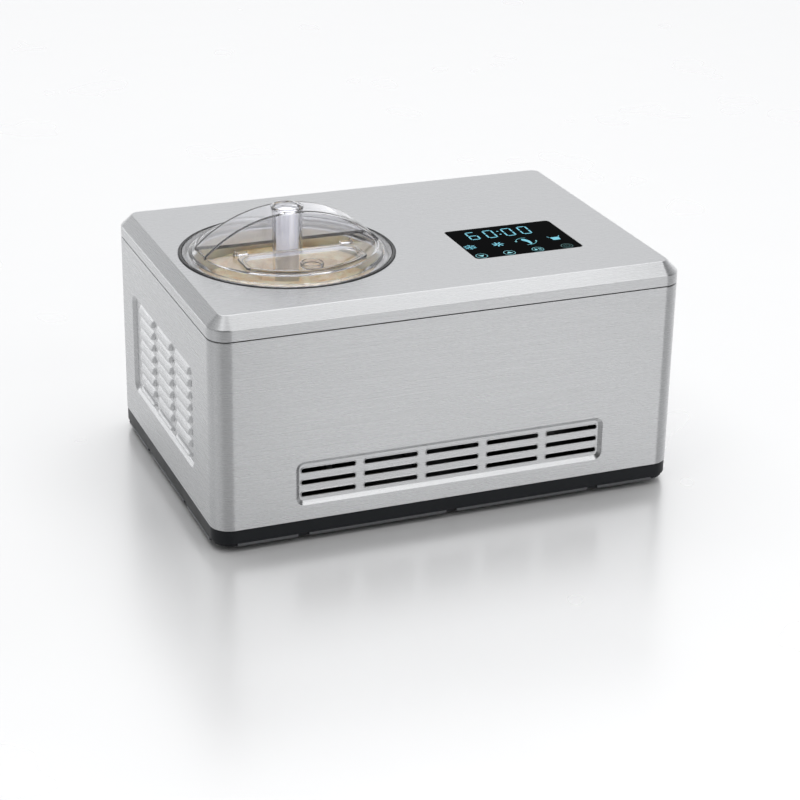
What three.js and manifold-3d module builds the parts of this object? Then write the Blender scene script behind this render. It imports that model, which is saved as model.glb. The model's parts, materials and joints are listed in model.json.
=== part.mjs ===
// A self-cooling ice cream maker: a steel-clad box with a compressor cooling circuit, a lift-out bowl with a
// motor-driven mixing paddle, a clear lid with an arched bridge grip and a hinged refill cap, and a touch panel.
// Millimetres, +Z up, +Y to the rear. The origin is on the table, under the middle of the housing.
import * as THREE from "three";
import { mergeVertices } from "three/addons/utils/BufferGeometryUtils.js";
import Module from "manifold-3d";

const wasm = await Module();
wasm.setup();

// ---------------------------------------------------------------- driving dimensions
const gap = 0.3; // between pieces that touch

// housing
const width = 425;
const depth = 295;
const cornerRadius = 17.5;
const footDrop = 5;
const footRadius = 12;
const baseHeight = 14.6;
const skirtHeight = 9.6;
const chamfer = 10; // the 45 degree slope round the top
const seamGap = 0.8; // the dark line under the top cover
const sheet = 1; // steel sheet of the wrap and the rear panel
const coverSheet = 1.2;
const trayWall = 3;
const tuck = 0.4; // how far the base stands in from the wrap
const frameThickness = 2.4;
const frameSkirt = 7;
const tieRadius = 4;
const tieInset = 22; // tie rods, in from the housing's sides
const flangeReach = 12; // rear return flange of the wrap
const rearCornerLand = 13; // steel left beside each rear corner
const panelInset = 2.4; // outer face of the rear panel, in from the wrap
const screwRadius = 1.6;

// bowl, well and drive, all on one vertical axis
const bowlY = -6.5;
const bowlRadius = 80; // inside, at the rim
const bowlDepth = 120;
const bowlTaper = 3;
const bowlWall = 1.8;
const floorBevel = 5;
const rimDrop = 7; // bowl rim below the top cover
const rimReach = 7.5; // how far the bowl rim stands out
const wellClearance = 1.2;
const wellWall = 2;
const coilTube = 6;
const coilClearance = 2;
const coilTurns = 4;
const insulation = 10;
const jacketMargin = 6.6; // between the foam and the wrap
const shaftRadius = 5;
const shaftClearance = 1.2; // to the bowl's centre tube
const tubeWall = 1.4; // the bowl's centre tube
const tubeDrop = 21; // the tube's top below the bowl's rim
const shaftReach = 9; // the shaft's hexagon above the bowl's centre tube
const paddleRadius = 11;
const paddleThickness = 3.2;
const handleThickness = 2.6;

// lid
const lidMargin = 3.5; // the lid's flange beyond the bowl's rim
const ringWidth = 3.2; // seat ring beyond the lid
const lidWall = 2.4;
const crownStep = 6; // height of the low crown above the flange
const crownInset = 12;
const bridgeRise = 40; // above the top cover
const bridgeRadius = 113;
const bridgeWidth = 30;
const hubRadius = 13.4;
const hubWall = 2;
const pegRadius = 3;
const capSide = 25.5; // the straight stretch of each side of the cap
const capCorner = 7;
const capBack = 21; // the refill cap's straight edge, in front of the bowl's axis
const capMargin = 3; // the cap's round edge in from the crown's
const capThickness = 1.8;
const capLap = 2.4; // how far the cap lies on the lid
const plugWall = 1.6;
const plugDepth = 3.2;
const gripRadius = 10;
const gripHeight = 3;
const hingePin = 1.4;

// touch panel
const panelX = 97;
const panelY = -43;
const panelWidth = 102;
const panelDepth = 75;
const glassThickness = 2.2;
const bezelMargin = 4;
const bezelHeight = 7;
const boardThickness = 1.6;

// vents
const slotLength = 48;
const slotHeight = 3.9;
const slotPitchX = 56.2;
const slotPitchZ = 10.9;
const slotRows = 3;
const slotColumns = 5;
const rearSlotRows = 4;
const ventCentreZ = 34; // above the wrap's lower edge
const frontRecess = { length: 284, height: 41 };
const louvreLength = 45;
const louvreHeight = 2.4;
const louvrePitchY = 55.7;
const louvrePitchZ = 11.1;
const louvreRows = 8;
const louvreColumns = 3;
const louvreCentreY = 2.3;
const louvreCentreZ = 79;
const sideRecess = { length: 189, height: 94, centreY: 6 };
const recessDepth = 1.5;
const glandX = 150;
const glandHeight = 24; // above the wrap's lower edge
const glandRadius = 8;
const cordRadius = 3.6;

// drive train
const gearModule = 2;
const gearTeeth = 36;
const pinionTeeth = 12;
const gearWidth = 8;
const motorRadius = 27;
const motorHeight = 27;
const motorNeck = 5.5; // from the motor's can to the gears
const caseWall = 2.4;
const jacketLift = 9.8; // the foam above the gearbox

// cooling circuit
const compressorRadius = 56;
const compressorHeight = 128;
const compressorSheet = 2.6;
const compressorLift = 9; // above the tray's floor
const compressorMargin = 22; // to the front
const fanSize = 112;
const fanThickness = 25;
const fanMargin = 27; // to the rear
const condenserThickness = 30;
const condenserMargin = 13; // to the right side
const finCount = 9;
const coilRuns = 6;
const lineRadius = 3;

// ---------------------------------------------------------------- derived sizes and levels
const wellRadius = bowlRadius + bowlWall + wellClearance;
const coilRadius = wellRadius + wellWall + coilClearance + coilTube / 2;
const foamInner = coilRadius + coilTube / 2 + 3 * gap;
const foamOuter = foamInner + insulation;
const bowlX = -width / 2 + sheet + jacketMargin + foamOuter;
const bowlFloorRadius = bowlRadius - bowlTaper;
const lidRadius = bowlRadius + rimReach + lidMargin;
const openingRadius = lidRadius + ringWidth;
const crownRadius = lidRadius - crownInset;
const capRadius = crownRadius - capMargin;
const capHalfWidth = Math.sqrt(capRadius ** 2 - (capBack + capCorner + capSide) ** 2);

const baseZ = footDrop;
const floorZ = baseZ + trayWall; // upper face of the base tray's floor
const standZ = floorZ + gap; // pieces that stand on it start here
const baseTopZ = baseZ + baseHeight;
const wrapZ = baseTopZ + tuck;
const motorTopZ = standZ + motorHeight;
const gearZ = motorTopZ + motorNeck; // lower face of both gears
const gearCaseTopZ = gearZ + gearWidth + 2.5;
const gearLidTopZ = gearCaseTopZ + gap + caseWall;
const foamBottomZ = gearLidTopZ + jacketLift;
const foamFloorZ = foamBottomZ + insulation;
const wellFloorZ = foamFloorZ + 2 + wellWall;
const bowlBottomZ = wellFloorZ + 2;
const bowlFloorZ = bowlBottomZ + bowlWall; // inside face of the bowl's floor
const rimZ = bowlFloorZ + bowlDepth;
const topZ = rimZ + rimDrop;
const coverZ = topZ - chamfer - skirtHeight;
const wrapTopZ = coverZ - seamGap;
const wrapHeight = wrapTopZ - wrapZ;
const frameTopZ = topZ - coverSheet - gap;
const tubeTopZ = rimZ - tubeDrop;
const flangeZ = topZ + 0.5; // top of the lid's flange
const crownZ = flangeZ + crownStep;
const seatZ = flangeZ - lidWall - gap; // ledge that the lid rests on
const hubZ = topZ + 0.5; // underside of the lid's hub
const paddleTopZ = hubZ - 0.9;
const ventZ = wrapZ + ventCentreZ;
const louvreZ = wrapZ + louvreCentreZ;
const glandZ = wrapZ + glandHeight;
const rearPanelY = depth / 2 - panelInset - sheet;

const gearDistance = (gearModule * (gearTeeth + pinionTeeth)) / 2;
const motorX = bowlX + gearDistance;
const compressorX = (bowlX + foamOuter + width / 2 - sheet) / 2;
const compressorY = -depth / 2 + sheet + compressorMargin + compressorRadius + 3;
const compressorZ = floorZ + compressorLift;
const condenserX = width / 2 - sheet - condenserMargin - condenserThickness / 2;
const coolingY = depth / 2 - fanMargin - fanSize / 2; // fan and condenser centre
const coolingZ = floorZ + 6 + fanSize / 2;
const fanX = condenserX - condenserThickness / 2 - 4 - fanThickness / 2;

// ---------------------------------------------------------------- materials
const finish = (colour, roughness, metalness, opacity = 1) =>
  new THREE.MeshStandardMaterial({ color: colour, roughness, metalness, opacity, transparent: opacity < 1 });
const brushedSteel = finish(0xb9bbbd, 0.35, 1);
const zincPlate = finish(0x9c9fa2, 0.5, 0.9);
const blackPlastic = finish(0x1b1d1f, 0.5, 0);
const greyPlastic = finish(0x8d9093, 0.55, 0);
const whitePlastic = finish(0xe6e6e2, 0.5, 0);
const rubber = finish(0x111212, 0.85, 0);
const clearPlastic = finish(0xeef1f3, 0.08, 0, 0.3);
const frostedPlastic = finish(0xe9ebea, 0.3, 0, 0.7);
const aluminium = finish(0xc9cbcc, 0.3, 1);
const copper = finish(0xb4683c, 0.35, 1);
const foam = finish(0xd9cfa8, 0.9, 0);
const blackPaint = finish(0x17181a, 0.4, 0.2);
const blackGlass = finish(0x050607, 0.06, 0);
const boardGreen = finish(0x1f5a35, 0.6, 0);

// ---------------------------------------------------------------- shapes and solids
function roundRect(w, d, r, x = 0, y = 0) {
  const shape = new THREE.Shape();
  shape.absarc(x + w / 2 - r, y - d / 2 + r, r, -Math.PI / 2, 0);
  shape.absarc(x + w / 2 - r, y + d / 2 - r, r, 0, Math.PI / 2);
  shape.absarc(x - w / 2 + r, y + d / 2 - r, r, Math.PI / 2, Math.PI);
  shape.absarc(x - w / 2 + r, y - d / 2 + r, r, Math.PI, 1.5 * Math.PI);
  return shape;
}

const disc = (r, x = 0, y = 0) => new THREE.Shape().absarc(x, y, r, 0, 2 * Math.PI);
const polygon = (points) => new THREE.Shape(points.map(([x, y]) => new THREE.Vector2(x, y)));

// A shape pushed up from z by height.
function prism(shape, height, z = 0, curveSegments = 4) {
  return new THREE.ExtrudeGeometry(shape, { depth: height, bevelEnabled: false, curveSegments }).translate(0, 0, z);
}

// A shape pushed up, whose upper and lower edges slope at 45 degrees by bevel.
function bevelled(shape, height, z, bevel, curveSegments = 4) {
  const settings = { depth: height - 2 * bevel, bevelThickness: bevel, bevelSize: bevel, bevelSegments: 1 };
  return new THREE.ExtrudeGeometry(shape, { ...settings, curveSegments }).translate(0, 0, z + bevel);
}

const box = (w, d, h, x, y, z) => new THREE.BoxGeometry(w, d, h).translate(x, y, z + h / 2);

// Round bars: along Z from z up, along X from x on, and along Y from y on.
const rod = (r, h, x, y, z, sides = 16) =>
  new THREE.CylinderGeometry(r, r, h, sides).rotateX(Math.PI / 2).translate(x, y, z + h / 2);
const rodX = (r, length, x, y, z, sides = 12) =>
  new THREE.CylinderGeometry(r, r, length, sides).rotateZ(-Math.PI / 2).translate(x + length / 2, y, z);
const rodY = (r, length, x, y, z, sides = 12) =>
  new THREE.CylinderGeometry(r, r, length, sides).translate(x, y + length / 2, z);

// A solid of revolution about Z from a closed outline of [radius, z] points that runs anticlockwise.
function turned(outline, x, y, sides) {
  const points = [...outline, outline[0]].map(([r, z]) => new THREE.Vector2(r, z));
  return new THREE.LatheGeometry(points, sides).rotateX(Math.PI / 2).translate(x, y, 0);
}

// A round tube along a smooth curve through points.
function pipe(points, radius, steps, sides = 6) {
  const path = new THREE.CatmullRomCurve3(points.map((p) => new THREE.Vector3(...p)), false, "centripetal");
  const section = Array.from({ length: sides }, (_, i) => {
    const angle = (2 * Math.PI * i) / sides;
    return [radius * Math.cos(angle), radius * Math.sin(angle)];
  });
  return new THREE.ExtrudeGeometry(polygon(section), { steps, extrudePath: path });
}

// A three.js geometry as a manifold-3d solid, for cutting and joining.
function solidOf(piece) {
  if (!piece.isBufferGeometry) return piece;
  const bare = piece.clone();
  bare.deleteAttribute("normal");
  bare.deleteAttribute("uv");
  const merged = mergeVertices(bare, 1e-4);
  return new wasm.Manifold(
    new wasm.Mesh({
      numProp: 3,
      vertProperties: new Float32Array(merged.attributes.position.array),
      triVerts: new Uint32Array(merged.index.array),
    }),
  );
}

const join = (...pieces) => pieces.map(solidOf).reduce((whole, piece) => whole.add(piece));
const cut = (from, ...tools) => tools.map(solidOf).reduce((whole, tool) => whole.subtract(tool), solidOf(from));

function geometryOf(piece) {
  if (piece.isBufferGeometry) return piece;
  const mesh = piece.getMesh();
  const geometry = new THREE.BufferGeometry();
  geometry.setAttribute("position", new THREE.BufferAttribute(new Float32Array(mesh.vertProperties), 3));
  geometry.setIndex(new THREE.BufferAttribute(new Uint32Array(mesh.triVerts), 1));
  geometry.computeVertexNormals();
  return geometry;
}

const machine = new THREE.Group();

function add(name, piece, material) {
  const mesh = new THREE.Mesh(geometryOf(piece), material);
  mesh.name = name;
  machine.add(mesh);
}

// The four corners of a rectangle about a centre, as [x, y, name] rows.
const corners = (halfX, halfY, x = 0, y = 0) => [
  [x - halfX, y - halfY, "front_left"],
  [x + halfX, y - halfY, "front_right"],
  [x - halfX, y + halfY, "rear_left"],
  [x + halfX, y + halfY, "rear_right"],
];

// ---------------------------------------------------------------- housing
// Places of a grid of slots, as [across, up] pairs.
function slotPlaces(columns, rows, pitchAcross, pitchUp, centre, z) {
  return Array.from({ length: columns * rows }, (_, i) => {
    const column = i % columns;
    const row = Math.floor(i / columns);
    return [centre + (column - (columns - 1) / 2) * pitchAcross, z + (row - (rows - 1) / 2) * pitchUp];
  });
}

const slotCutter = 12; // length of the tools that cut the slots
const slotThroughY = (w, h, y) => ([across, up]) => box(w, slotCutter, h, across, y, up - h / 2);
const slotThroughX = (w, h, x) => ([across, up]) => box(slotCutter, w, h, x, across, up - h / 2);

// The pressed recess round a group of vents: a backing inside the wall, and the pocket to cut from outside.
function recess({ length, height }) {
  const rim = 3 + sheet;
  const pocket = roundRect(length - 2 * rim, height - 2 * rim, 5);
  return {
    backing: prism(roundRect(length, height, 8), recessDepth, sheet - 0.01, 2),
    pocket: bevelled(pocket, 2 * recessDepth, -recessDepth, recessDepth, 2),
  };
}

// Stands a piece, modelled on the XY plane with its depth along +Z, into the front or a side wall.
const ontoFront = (geometry) =>
  geometry.rotateX(-Math.PI / 2).rotateY(Math.PI).translate(0, -depth / 2, ventZ);
const ontoSide = (geometry, side) =>
  geometry
    .rotateX(-Math.PI / 2)
    .rotateY(Math.PI)
    .rotateZ((side * Math.PI) / 2)
    .translate((side * width) / 2, sideRecess.centreY, louvreZ);

const rearOpening = width - 2 * cornerRadius - 2 * rearCornerLand;
const screwX = rearOpening / 2 - flangeReach / 2;
const screwPlaces = [
  ["lower_left", -screwX, wrapZ + 14],
  ["lower_right", screwX, wrapZ + 14],
  ["upper_left", -screwX, wrapTopZ - 14],
  ["upper_right", screwX, wrapTopZ - 14],
];
const screwHoles = () => screwPlaces.map(([, x, z]) => rodY(screwRadius + gap, 12, x, rearPanelY - 9, z, 8));

// Front and both sides in one folded sheet, with a return flange at the rear that the rear panel is screwed to.
function housingWrap() {
  const ring = roundRect(width, depth, cornerRadius);
  ring.holes.push(roundRect(width - 2 * sheet, depth - 2 * sheet, cornerRadius - sheet));
  const rearY = depth / 2;
  const flangeY = rearPanelY - gap - sheet;
  const returns = [-1, 1].flatMap((s) => [
    box(sheet, rearY - flangeY, wrapHeight, s * (rearOpening / 2 + sheet / 2 - 0.01), (rearY + flangeY) / 2, wrapZ),
    box(flangeReach, sheet, wrapHeight, s * (rearOpening / 2 + sheet - flangeReach / 2), flangeY + sheet / 2, wrapZ),
  ]);
  const front = recess(frontRecess);
  const left = recess(sideRecess);
  const right = recess(sideRecess);
  const frontSlots = slotPlaces(slotColumns, slotRows, slotPitchX, slotPitchZ, 0, ventZ);
  const louvres = slotPlaces(louvreColumns, louvreRows, louvrePitchY, louvrePitchZ, louvreCentreY, louvreZ);
  const shell = join(
    cut(prism(ring, wrapHeight, wrapZ, 4), box(rearOpening, 20, wrapHeight + 2, 0, rearY, wrapZ - 1)),
    ...returns,
    ontoFront(front.backing),
    ontoSide(left.backing, -1),
    ontoSide(right.backing, 1),
  );
  return cut(
    shell,
    ontoFront(front.pocket),
    ontoSide(left.pocket, -1),
    ontoSide(right.pocket, 1),
    ...frontSlots.map(slotThroughY(slotLength, slotHeight, -depth / 2)),
    ...louvres.map(slotThroughX(louvreLength, louvreHeight, -width / 2)),
    ...louvres.map(slotThroughX(louvreLength, louvreHeight, width / 2)),
    ...screwHoles(),
  );
}

// The rear sheet, with air slots and a hole for the cord gland.
function rearPanel() {
  const plate = box(rearOpening - 2 * gap, sheet, wrapHeight - 2, 0, rearPanelY + sheet / 2, wrapZ + 1);
  const slotsZ = wrapZ + wrapHeight * 0.6;
  const slots = slotPlaces(slotColumns, rearSlotRows, slotPitchX, 1.3 * slotPitchZ, 0, slotsZ);
  return cut(
    plate,
    ...slots.map(slotThroughY(slotLength, slotHeight, rearPanelY)),
    rodY(glandRadius + gap, 6, glandX, rearPanelY - 3, glandZ, 16),
    ...screwHoles(),
  );
}

// The cover's outer form, moved in on all sides and down by inset: a skirt, a slope and a flat top.
function coverBlock(inset) {
  const side = 2 * (chamfer + inset);
  const flat = roundRect(width - side, depth - side, cornerRadius - chamfer);
  const height = 2 * (topZ - inset - coverZ);
  const block = bevelled(flat, height, topZ - inset - height, chamfer, 4);
  return cut(block, box(width + 2, depth + 2, height, 0, 0, coverZ - height));
}

function topCover() {
  const hollow = coverBlock(coverSheet).translate([0, 0, -0.01]);
  const opening = prism(disc(openingRadius, bowlX, bowlY), 20, topZ - 10, 20);
  const window = prism(roundRect(panelWidth, panelDepth, 4, panelX, panelY), 20, topZ - 10, 3);
  return cut(coverBlock(0), hollow, opening, window);
}

// The moulded frame under the steel cover. It stands on the tie rods and holds the seat ring and touch panel.
function coverFrame() {
  const edge = chamfer + coverSheet + 2;
  const w = width - 2 * edge;
  const d = depth - 2 * edge;
  const rim = roundRect(w, d, 6);
  rim.holes.push(roundRect(w - 5, d - 5, 4));
  const bezelHole = roundRect(
    panelWidth + 2 * (bezelMargin + gap), panelDepth + 2 * (bezelMargin + gap), 6, panelX, panelY);
  return cut(
    join(
      prism(roundRect(w, d, 6), frameThickness, frameTopZ - frameThickness, 2),
      prism(rim, frameSkirt, frameTopZ - frameSkirt, 2),
    ),
    prism(disc(openingRadius - gap, bowlX, bowlY), 20, topZ - 16, 20),
    prism(bezelHole, 20, topZ - 16, 2),
  );
}

// Lines the round opening; the lid's flange lies on its ledge and the well hangs under it.
function seatRing() {
  const outer = openingRadius - 2 * gap;
  const inner = lidRadius - 2.6;
  const lapZ = topZ - coverSheet - 3.4;
  const bottomZ = rimZ - bowlWall - gap + 0.9;
  return turned(
    [
      [inner, bottomZ],
      [outer - 1.2, bottomZ],
      [outer - 1.2, lapZ],
      [outer, lapZ],
      [outer, topZ + 0.5],
      [lidRadius + 0.7, topZ + 0.5],
      [lidRadius + 0.7, seatZ],
      [inner, seatZ],
    ],
    bowlX, bowlY, 40);
}

const footX = width / 2 - 38;
const footY = depth / 2 - 34;
const tieX = width / 2 - tieInset;
const tieY = depth / 2 - tieInset;
const studRadius = 1.9;

// The moulded tray that everything stands on, with an upstand inside the wrap.
function baseTray() {
  const bevel = 2.5;
  const w = width - 2 * tuck;
  const d = depth - 2 * tuck;
  const outline = roundRect(w - 2 * bevel, d - 2 * bevel, cornerRadius - bevel);
  const block = cut(
    bevelled(outline, baseHeight + 2 * bevel, baseZ, bevel, 3),
    box(width, depth, 2 * bevel + 1, 0, 0, baseTopZ),
  );
  const lipHeight = 8;
  const lipWall = 2;
  const lipWidth = width - 2 * (sheet + gap + tuck);
  const lipDepth = 2 * (rearPanelY - sheet - 2 * gap - tuck);
  const lip = roundRect(lipWidth, lipDepth, cornerRadius - sheet - gap);
  lip.holes.push(roundRect(lipWidth - 2 * lipWall, lipDepth - 2 * lipWall, cornerRadius - sheet - gap - lipWall));
  const hollow = roundRect(
    lipWidth - 2 * lipWall, lipDepth - 2 * lipWall, cornerRadius - sheet - gap - lipWall);
  return cut(
    join(block, prism(lip, lipHeight, baseTopZ - 0.01, 3)),
    prism(hollow, baseHeight + lipHeight, floorZ, 3),
    ...corners(footX, footY).map(([x, y]) => rod(studRadius + gap, 30, x, y, 0, 8)),
  );
}

// A rubber foot with a push-in stud.
const foot = (x, y) =>
  turned(
    [
      [0, 0],
      [footRadius - 1.2, 0],
      [footRadius, 1.2],
      [footRadius - 1, footDrop - gap],
      [studRadius, footDrop - gap],
      [studRadius, floorZ + gap],
      [studRadius + 1.5, floorZ + gap],
      [studRadius - 0.3, floorZ + 3],
      [0, floorZ + 3],
    ],
    x, y, 14);

const panHead = (x, z) =>
  join(
    rodY(2 * screwRadius, 1.2, x, rearPanelY + sheet + gap / 3, z, 10),
    rodY(screwRadius, 8, x, rearPanelY + sheet - 7.5, z, 8),
  );

const tieRod = (x, y) => rod(tieRadius, frameTopZ - frameThickness - gap - standZ, x, y, standZ, 10);

function buildHousing() {
  add("base_tray", baseTray(), blackPlastic);
  add("housing_wrap", housingWrap(), brushedSteel);
  add("rear_panel", rearPanel(), brushedSteel);
  add("top_cover", topCover(), brushedSteel);
  add("cover_frame", coverFrame(), greyPlastic);
  add("bowl_seat_ring", seatRing(), blackPlastic);
  corners(footX, footY).forEach(([x, y, corner]) => add(`foot_${corner}`, foot(x, y), rubber));
  corners(tieX, tieY).forEach(([x, y, corner]) => add(`tie_rod_${corner}`, tieRod(x, y), zincPlate));
  screwPlaces.forEach(([place, x, z]) => add(`rear_screw_${place}`, panHead(x, z), zincPlate));
}

// ---------------------------------------------------------------- lid and refill cap
// A band that arches over the bowl from left to right, with its feet in the lid's crown.
function bridgeBlock(inset) {
  const radius = bridgeRadius - inset;
  const centreZ = topZ + bridgeRise - bridgeRadius;
  const half = crownRadius - inset;
  const reach = Math.asin(half / radius);
  const steps = 12;
  const arc = Array.from({ length: steps + 1 }, (_, i) => {
    const angle = reach - (2 * reach * i) / steps;
    return [radius * Math.sin(angle), centreZ + radius * Math.cos(angle)];
  });
  const outline = polygon([[-half, flangeZ - 1], [half, flangeZ - 1], ...arc]);
  const span = bridgeWidth - 2 * inset;
  return prism(outline, span).rotateX(Math.PI / 2).translate(bowlX, bowlY + span / 2, 0);
}

// A half-moon in front of the bridge, larger by grow on every side, from z up.
function capPrism(grow, height, z) {
  const radius = capRadius + grow;
  const half = capHalfWidth + grow;
  const swing = Math.acos(half / radius);
  const steps = 10;
  const bow = Array.from({ length: steps + 1 }, (_, i) => {
    const angle = Math.PI + swing + ((Math.PI - 2 * swing) * i) / steps;
    return [radius * Math.cos(angle), radius * Math.sin(angle)];
  });
  const backY = -capBack + grow;
  const outline = [[-half + capCorner, backY], [-half, backY - capCorner], ...bow, [half, backY - capCorner],
    [half - capCorner, backY]];
  return prism(polygon(outline), height, z).translate(bowlX, bowlY, 0);
}

const hingeY = bowlY - capBack + 3.2;
const hingeZ = crownZ + 2;
const barrelHalf = capHalfWidth - 4;

// The clear lid: flange, low crown, arched bridge grip, and a hub that is open above and steadies the paddle.
function lidDome() {
  const bottomZ = flangeZ - lidWall;
  const outer = turned(
    [[0, bottomZ], [lidRadius, bottomZ], [lidRadius, flangeZ], [crownRadius + 6, flangeZ],
      [crownRadius + 3.6, flangeZ + 1.6], [crownRadius, crownZ], [0, crownZ]],
    bowlX, bowlY, 32);
  const inner = turned(
    [[0, bottomZ - 1], [crownRadius + 3.2, bottomZ - 1], [crownRadius + 1.4, flangeZ],
      [crownRadius - 2, crownZ - lidWall], [0, crownZ - lidWall]],
    bowlX, bowlY, 32);
  const ears = [-1, 1].map((s) => box(2.4, 6, 5.5, bowlX + s * (barrelHalf + 2.6), hingeY, crownZ - 0.5));
  const shell = cut(join(outer, bridgeBlock(0)), inner, bridgeBlock(lidWall));
  const whole = join(
    shell,
    rod(hubRadius, topZ + bridgeRise + 1 - hubZ, bowlX, bowlY, hubZ, 20),
    rod(pegRadius, 4, bowlX, bowlY, hubZ - 3.5, 12),
    ...ears,
  );
  return cut(
    whole,
    rod(hubRadius - hubWall, 60, bowlX, bowlY, hubZ + hubWall, 20),
    capPrism(-capLap, 12, crownZ - 8),
    rodX(hingePin + gap, 2 * barrelHalf + 20, bowlX - barrelHalf - 10, hingeY, hingeZ, 10),
  );
}

// The hinged cap over the refill opening, with a round finger grip at its front edge.
function refillCap() {
  const plateZ = crownZ + gap;
  const plugGrow = -capLap - 2 * gap;
  const gripY = bowlY - capRadius + gripRadius + 1;
  const knuckle = 2.2;
  const shell = cut(
    join(capPrism(0, capThickness, plateZ), capPrism(plugGrow, plugDepth + 0.2, plateZ - plugDepth)),
    capPrism(plugGrow - plugWall, 2 * plugDepth, plateZ - 2 * plugDepth),
  );
  const whole = join(
    shell,
    rod(gripRadius, gripHeight + 0.4, bowlX, gripY, plateZ + capThickness - 0.4, 16),
    box(2 * barrelHalf, 4.8, knuckle, bowlX, hingeY - 2.4, plateZ),
    rodX(hingePin + 0.5, 2 * barrelHalf, bowlX - barrelHalf, hingeY, hingeZ, 8),
    rodX(hingePin, 2 * barrelHalf + 7, bowlX - barrelHalf - 3.5, hingeY, hingeZ, 10),
  );
  return cut(whole, rod(gripRadius - plugWall, 6, bowlX, gripY, plateZ + capThickness, 16));
}

// ---------------------------------------------------------------- bowl, handle and paddle
const tubeBore = shaftRadius + shaftClearance;
const bailRadius = bowlRadius + 5;
const bailZ = rimZ + 2.4; // the handle's pivot
const pivotRadius = 1.1;

// The lift-out bowl, with a centre tube for the drive shaft and a pivot pin for the handle on each side.
function iceBowl() {
  const outerFloor = bowlFloorRadius + bowlWall;
  const wall = turned(
    [
      [tubeBore, bowlBottomZ],
      [outerFloor - floorBevel, bowlBottomZ],
      [outerFloor, bowlBottomZ + floorBevel],
      [bowlRadius + bowlWall, rimZ - bowlWall],
      [bowlRadius + rimReach, rimZ - bowlWall],
      [bowlRadius + rimReach, rimZ],
      [bowlRadius, rimZ],
      [bowlFloorRadius, bowlFloorZ + floorBevel],
      [bowlFloorRadius - floorBevel, bowlFloorZ],
      [tubeBore + tubeWall, bowlFloorZ],
      [tubeBore + tubeWall, tubeTopZ],
      [tubeBore, tubeTopZ],
    ],
    bowlX, bowlY, 28);
  const pinEnd = bailRadius + handleThickness / 2 + 0.8;
  const pinStart = bowlRadius + 1.2;
  const pivots = [-1, 1].flatMap((s) => [
    box(1.6, 6, 4.4, bowlX + s * (bowlRadius + 2), bowlY, rimZ - 0.2),
    rodX(pivotRadius, pinEnd - pinStart, s > 0 ? bowlX + pinStart : bowlX - pinEnd, bowlY, bailZ, 8),
  ]);
  return join(wall, ...pivots);
}

// A bail handle that lies on the rim towards the rear.
function bowlHandle() {
  const outer = bailRadius + handleThickness / 2;
  const inner = bailRadius - handleThickness / 2;
  const half = new THREE.Shape();
  half.absarc(0, 0, outer, 0, Math.PI, false);
  half.absarc(0, 0, inner, Math.PI, 0, true);
  const eyeX = (s) => bowlX + s * bailRadius - handleThickness / 2;
  const bow = prism(half, 3, bailZ - 1.5, 12).translate(bowlX, bowlY, 0);
  const eyes = [-1, 1].map((s) => rodX(2, handleThickness, eyeX(s), bowlY, bailZ, 10));
  const bores = [-1, 1].map((s) => rodX(pivotRadius + gap, handleThickness + 2, eyeX(s) - 1, bowlY, bailZ, 10));
  return cut(join(bow, ...eyes), ...bores);
}

// The mixing paddle: a hollow shaft over the bowl's centre tube, with a tall scraper and a short one.
function mixingPaddle() {
  const paddleZ = bowlFloorZ + 2.5;
  const bore = rod(tubeBore + tubeWall + 1, tubeTopZ + 1 - paddleZ + 1, bowlX, bowlY, paddleZ - 1, 14);
  const shaft = rod(paddleRadius, paddleTopZ - paddleZ, bowlX, bowlY, paddleZ, 16);
  const start = paddleRadius - 1;
  const reach = bowlFloorRadius - 3;
  const high = bowlDepth - 32;
  const tall = [[start, 0], [reach - floorBevel, 0], [reach, floorBevel + 1], [reach + 1, high],
    [reach - 7, high], [reach - 9, 16], [30, 12], [start, 34]];
  const tie = [[start, high - 26], [reach - 6, high - 12], [reach - 6, high - 5], [start, high - 18]];
  const low = [[-start, 0], [-start, 26], [-24, 12], [-reach + 30, 14], [-reach + 33, 58], [-reach + 24, 58],
    [-reach + 16, 5], [-reach + 22, 0]];
  const blade = (points) =>
    prism(polygon(points), paddleThickness)
      .rotateX(Math.PI / 2)
      .translate(bowlX, bowlY + paddleThickness / 2, paddleZ);
  return cut(
    join(shaft, blade(tall), blade(low.reverse()), blade(tie)),
    bore,
    rod(shaftRadius + 0.2, shaftReach + 3, bowlX, bowlY, tubeTopZ + 0.5, 6),
    rod(pegRadius + gap, 6, bowlX, bowlY, paddleTopZ - 3, 12),
  );
}

function buildBowlAndLid() {
  add("ice_bowl", iceBowl(), aluminium);
  add("bowl_handle", bowlHandle(), whitePlastic);
  add("mixing_paddle", mixingPaddle(), frostedPlastic);
  add("lid_dome", lidDome(), clearPlastic);
  add("refill_cap", refillCap(), clearPlastic);
}

// ---------------------------------------------------------------- evaporator
const sealBore = shaftRadius + 4;
const lipZ = rimZ - bowlWall - gap; // top of the well's lip, under the bowl's rim

function evaporatorWell() {
  const outer = wellRadius + wellWall;
  const lipRadius = foamOuter - 6;
  return turned(
    [
      [sealBore, wellFloorZ - wellWall],
      [outer, wellFloorZ - wellWall],
      [outer, lipZ - wellWall],
      [lipRadius, lipZ - wellWall],
      [lipRadius, lipZ],
      [wellRadius, lipZ],
      [wellRadius, wellFloorZ],
      [sealBore, wellFloorZ],
    ],
    bowlX, bowlY, 28);
}

const coilStartZ = wellFloorZ + 14;
const coilPitch = (bowlDepth - 52) / coilTurns;

function evaporatorCoil() {
  const perTurn = 12;
  const points = Array.from({ length: coilTurns * perTurn + 1 }, (_, i) => {
    const angle = (2 * Math.PI * i) / perTurn;
    const z = coilStartZ + (coilPitch * i) / perTurn;
    return [bowlX + coilRadius * Math.cos(angle), bowlY + coilRadius * Math.sin(angle), z];
  });
  return pipe(points, coilTube / 2, coilTurns * 18);
}

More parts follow.
